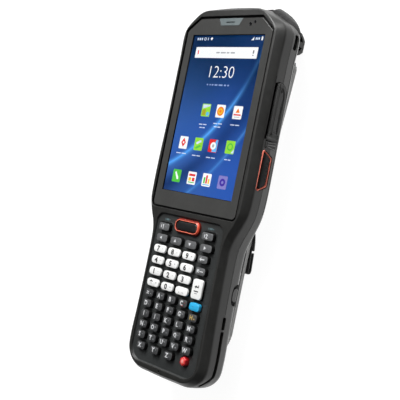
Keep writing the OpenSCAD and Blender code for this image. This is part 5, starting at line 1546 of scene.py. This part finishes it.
# bound edge: a tape folded round each side of the pad, with a bead along both its folds; its pale grey colour is partly
# painted reflection, standing in for the bright line of reflected light along the strap's edge
s = Soup()
for sx in (1, -1):
    prof = [(-0.30, -1.16), (0.16, -1.17), (0.26, -1.02), (0.22, -0.80), (0.20, 0.80), (0.26, 1.02), (0.16, 1.17), (-0.30, 1.16), (-1.6, 1.12), (-1.6, 0.86), (-0.2, 0.92), (-0.1, 0.0), (-0.2, -0.92), (-1.6, -0.86), (-1.6, -1.12)]
    q_ = pad_path
    T = np.gradient(q_, axis=0); T /= np.linalg.norm(T, axis=1, keepdims=True)
    rings = []
    for i in range(1, len(q_) - 1):
        hw = hwf(q_[i][0], 0)
        rings.append([(sx * (hw + u), q_[i][0] - T[i][1] * v, q_[i][1] + T[i][0] * v) for u, v in prof])
    s.rings(rings)
bind = piece("strap_binding", s, [BINDING_PALE_PAINTED_REFLECTION], "housing", "strap_fabric", sharp=50)

# stitches along both edges of the pad
s = Soup()


def stitch(soup, p, d, n, L=1.5, r=0.16):
    """One short thread bead at p along d, its up side along n."""
    d = np.array(d, float); d /= np.linalg.norm(d)
    n = np.array(n, float); n /= np.linalg.norm(n)
    w = np.cross(d, n)
    rings = []
    for t, k in ((-0.5, 0.25), (-0.36, 0.85), (0, 1.0), (0.36, 0.85), (0.5, 0.25)):
        c = np.array(p) + d * L * t - n * (0.08 if abs(t) > 0.4 else 0.0)
        rings.append([tuple(c + r * k * (math.cos(a) * w + math.sin(a) * n)) for a in np.linspace(0, 2 * math.pi, 7)[:-1]])
    soup.rings(rings)


fine = along([(y, z + 1.0) for y, z in SO if y <= 36], 2.35)
T = np.gradient(fine, axis=0)
for i in range(1, len(fine) - 1):
    t = T[i] / np.linalg.norm(T[i]); nrm = np.array([-t[1], t[0]])
    for sx in (1, -1):
        for side in (1, -1):
            q = fine[i] + nrm * side * 0.64
            stitch(s, (sx * 21.5 * 0.89, q[0], q[1]), (0, t[0], t[1]), (0, nrm[0] * side, nrm[1] * side), 1.5, 0.17)
piece("strap_stitching", s, [THREAD], "housing", "strap_fabric", sharp=60)


def arc(cy, cz, r, a0, a1, n):
    return [(cy + r * math.cos(a), cz + r * math.sin(a)) for a in np.linspace(math.radians(a0), math.radians(a1), n)]


web = [(-1.0, 0.0), (-0.992, 0.34), (-0.96, 0.5), (0, 0.5)]
web_sec = web + [(-u, h) for u, h in reversed(web[:-1])]
web_sec = web_sec + [(u, -h) for u, h in reversed(web_sec[1:-1])]
# turn round the upper bar
s = Soup()
loop = [(34.2, -33.75), (37, -33.0), (41, -31.9)] + arc(47.6, -32.8, 2.2, 118, -100, 15) + [(43, -34.95), (39, -34.75), (35, -34.4)]
loop_len = ribbon(s, along(loop, 1.2), 19.6, 1.3, web_sec)
w_up = piece("strap_top_loop", s, [STRAP], "housing", "strap_fabric", replaces=["strap_webbing"], sharp=60)
# lower webbing and its turn round the pin
s = Soup()
loop = [(-106, -26.75), (-112, -26.9), (-118, -27.0), (-123, -28.6)] + arc(-127.5, -27.9, 2.0, -60, -292, 15)[1:] + [(-122.5, -26.4), (-119.2, -25.7), (-112, -25.55)]
low_len = ribbon(s, along(loop, 1.2), 11.0, 1.3, web_sec)
w_lo = piece("strap_lower_webbing", s, [TAIL], "housing", "strap_fabric", replaces=["strap_webbing"], sharp=60)
# tail of the strap and the fold of its slider
s = Soup()
tail = [(-60.5, -28.5), (-64, -28.8), (-68, -29.0), (-73, -29.25), (-77.9, -29.7), (-78.9, -30.65), (-77.9, -31.6), (-73, -31.35), (-67.9, -31.0)]
tail_len = ribbon(s, along(tail, 1.2), 21.4, 1.3, web_sec)
w_ta = piece("strap_tail_fold", s, [TAIL], "housing", "strap_fabric", replaces=["strap_tail"], sharp=60)

# slider that holds the tail: a wedge across the strap with a slot for the webbing
s = Soup()
sl_o = rpoly([(-55.6, -27.9), (-58.6, -29.2), (-62.0, -30.1), (-66.3, -30.75), (-66.7, -30.4), (-66.7, -29.25), (-60.5, -28.7), (-57.2, -27.6)], [0.3, 0.8, 0.8, 0.3, 0.3, 0.3, 0.8, 0.3], 4)
s.rings([[(x, y, z) for y, z in inset_poly(sl_o, d)] for x, d in ((-21.9, 0.22), (-21.7, 0.05), (-21.4, 0.0), (21.4, 0.0), (21.7, 0.05), (21.9, 0.22))])
sld = obj_from(mesh_from(s), "slider")
cut = Soup()
for k in range(5):
    cut.prism_x([(-58.9 - k * 1.5, -31.9), (-59.4 - k * 1.5, -31.9), (-59.4 - k * 1.5, -29.02 - k * 0.27), (-58.9 - k * 1.5, -29.02 - k * 0.27)], -19.5, 19.5)
boolean(sld, cut)
finish_piece(sld, "strap_slider", [BRACKET], "housing", "bracket_black", ["strap_tail"], sharp=40)

# ---------------------------------------------------------------- nodes that keep their CAD shape
def dress(node, *mats):
    me = NODES[node].data
    me.materials.clear()
    for m in mats:
        me.materials.append(m)


dress("lcd_panel", GLOSS_DARK)
dress("key_mat", MATRUB)
dress("keypad_board", PCB)
dress("mid_frame", ALLOY)
dress("main_board", PCB)
dress("scan_engine", BLACK)
dress("scan_window", RED_PANE)
dress("speaker", BLACK)
dress("vibration_motor", STEEL)
dress("usb_connector", STEEL)
dress("battery_contacts", GOLD)
dress("charge_contacts", GOLD)
dress("strap_anchor_pin", STEEL)
dress("housing_screws", STEEL)
dress("battery_latch", LATCH)

# ---------------------------------------------------------------- stage and light
me = bpy.data.meshes.new("floor")
me.from_pydata([(-1.6, -1.6, 0), (1.6, -1.6, 0), (1.6, 1.6, 0), (-1.6, 1.6, 0)], [], [(0, 1, 2, 3)])
floor = obj_from(me, "floor")
M = Mat("floor_paper", Specular_IOR_Level=0.2)
t = M.noise(0.02, 3, 0.5)
M.base(M.mixc(t * 0.3, (0.16, 0.16, 0.16), (0.18, 0.18, 0.18))); M.rough(t * 0.1 + 0.8)
M.p.inputs['Emission Color'].default_value = (1, 1, 1, 1); M.p.inputs['Emission Strength'].default_value = 0.95
me.materials.append(M.m)

wd = bpy.data.worlds.new("world"); SC.world = wd; wd.use_nodes = True
wd.node_tree.nodes["Background"].inputs[0].default_value = (0.93, 0.96, 1.0, 1)
wd.node_tree.nodes["Background"].inputs[1].default_value = 0.05
MID = PLACE @ Vector((0, -38, -10))


def softbox(name, direction, dist, size, radiance, col=(1, 1, 1), size_y=None):
    d = Vector(direction).normalized()
    li = bpy.data.lights.new(name, 'AREA')
    li.shape = 'RECTANGLE'; li.size = size; li.size_y = size_y or size
    li.energy = radiance * math.pi * li.size * li.size_y
    li.color = col
    ob = bpy.data.objects.new(name, li)
    SC.collection.objects.link(ob)
    ob.location = MID + d * dist
    ob.rotation_euler = (-d).to_track_quat('-Z', 'Y').to_euler()
    return ob


softbox("light_top", (0.05, 0.30, 1.0), 1.05, 1.3, 0.6)
softbox("light_key", (-0.20, 0.71, 0.68), 1.1, 0.7, 12.4)
softbox("light_end", (0.30, 1.0, 0.35), 0.9, 0.7, 0.9)
softbox("light_corner", (0.16, 0.87, 0.50), 1.0, 0.42, 4.0)

SC.view_settings.view_transform = 'Standard'
SC.view_settings.exposure = 0.0

for o in list(bpy.data.objects):
    if o.type == 'MESH' and o.users_collection == ():
        bpy.data.objects.remove(o)
bpy.context.view_layer.update()
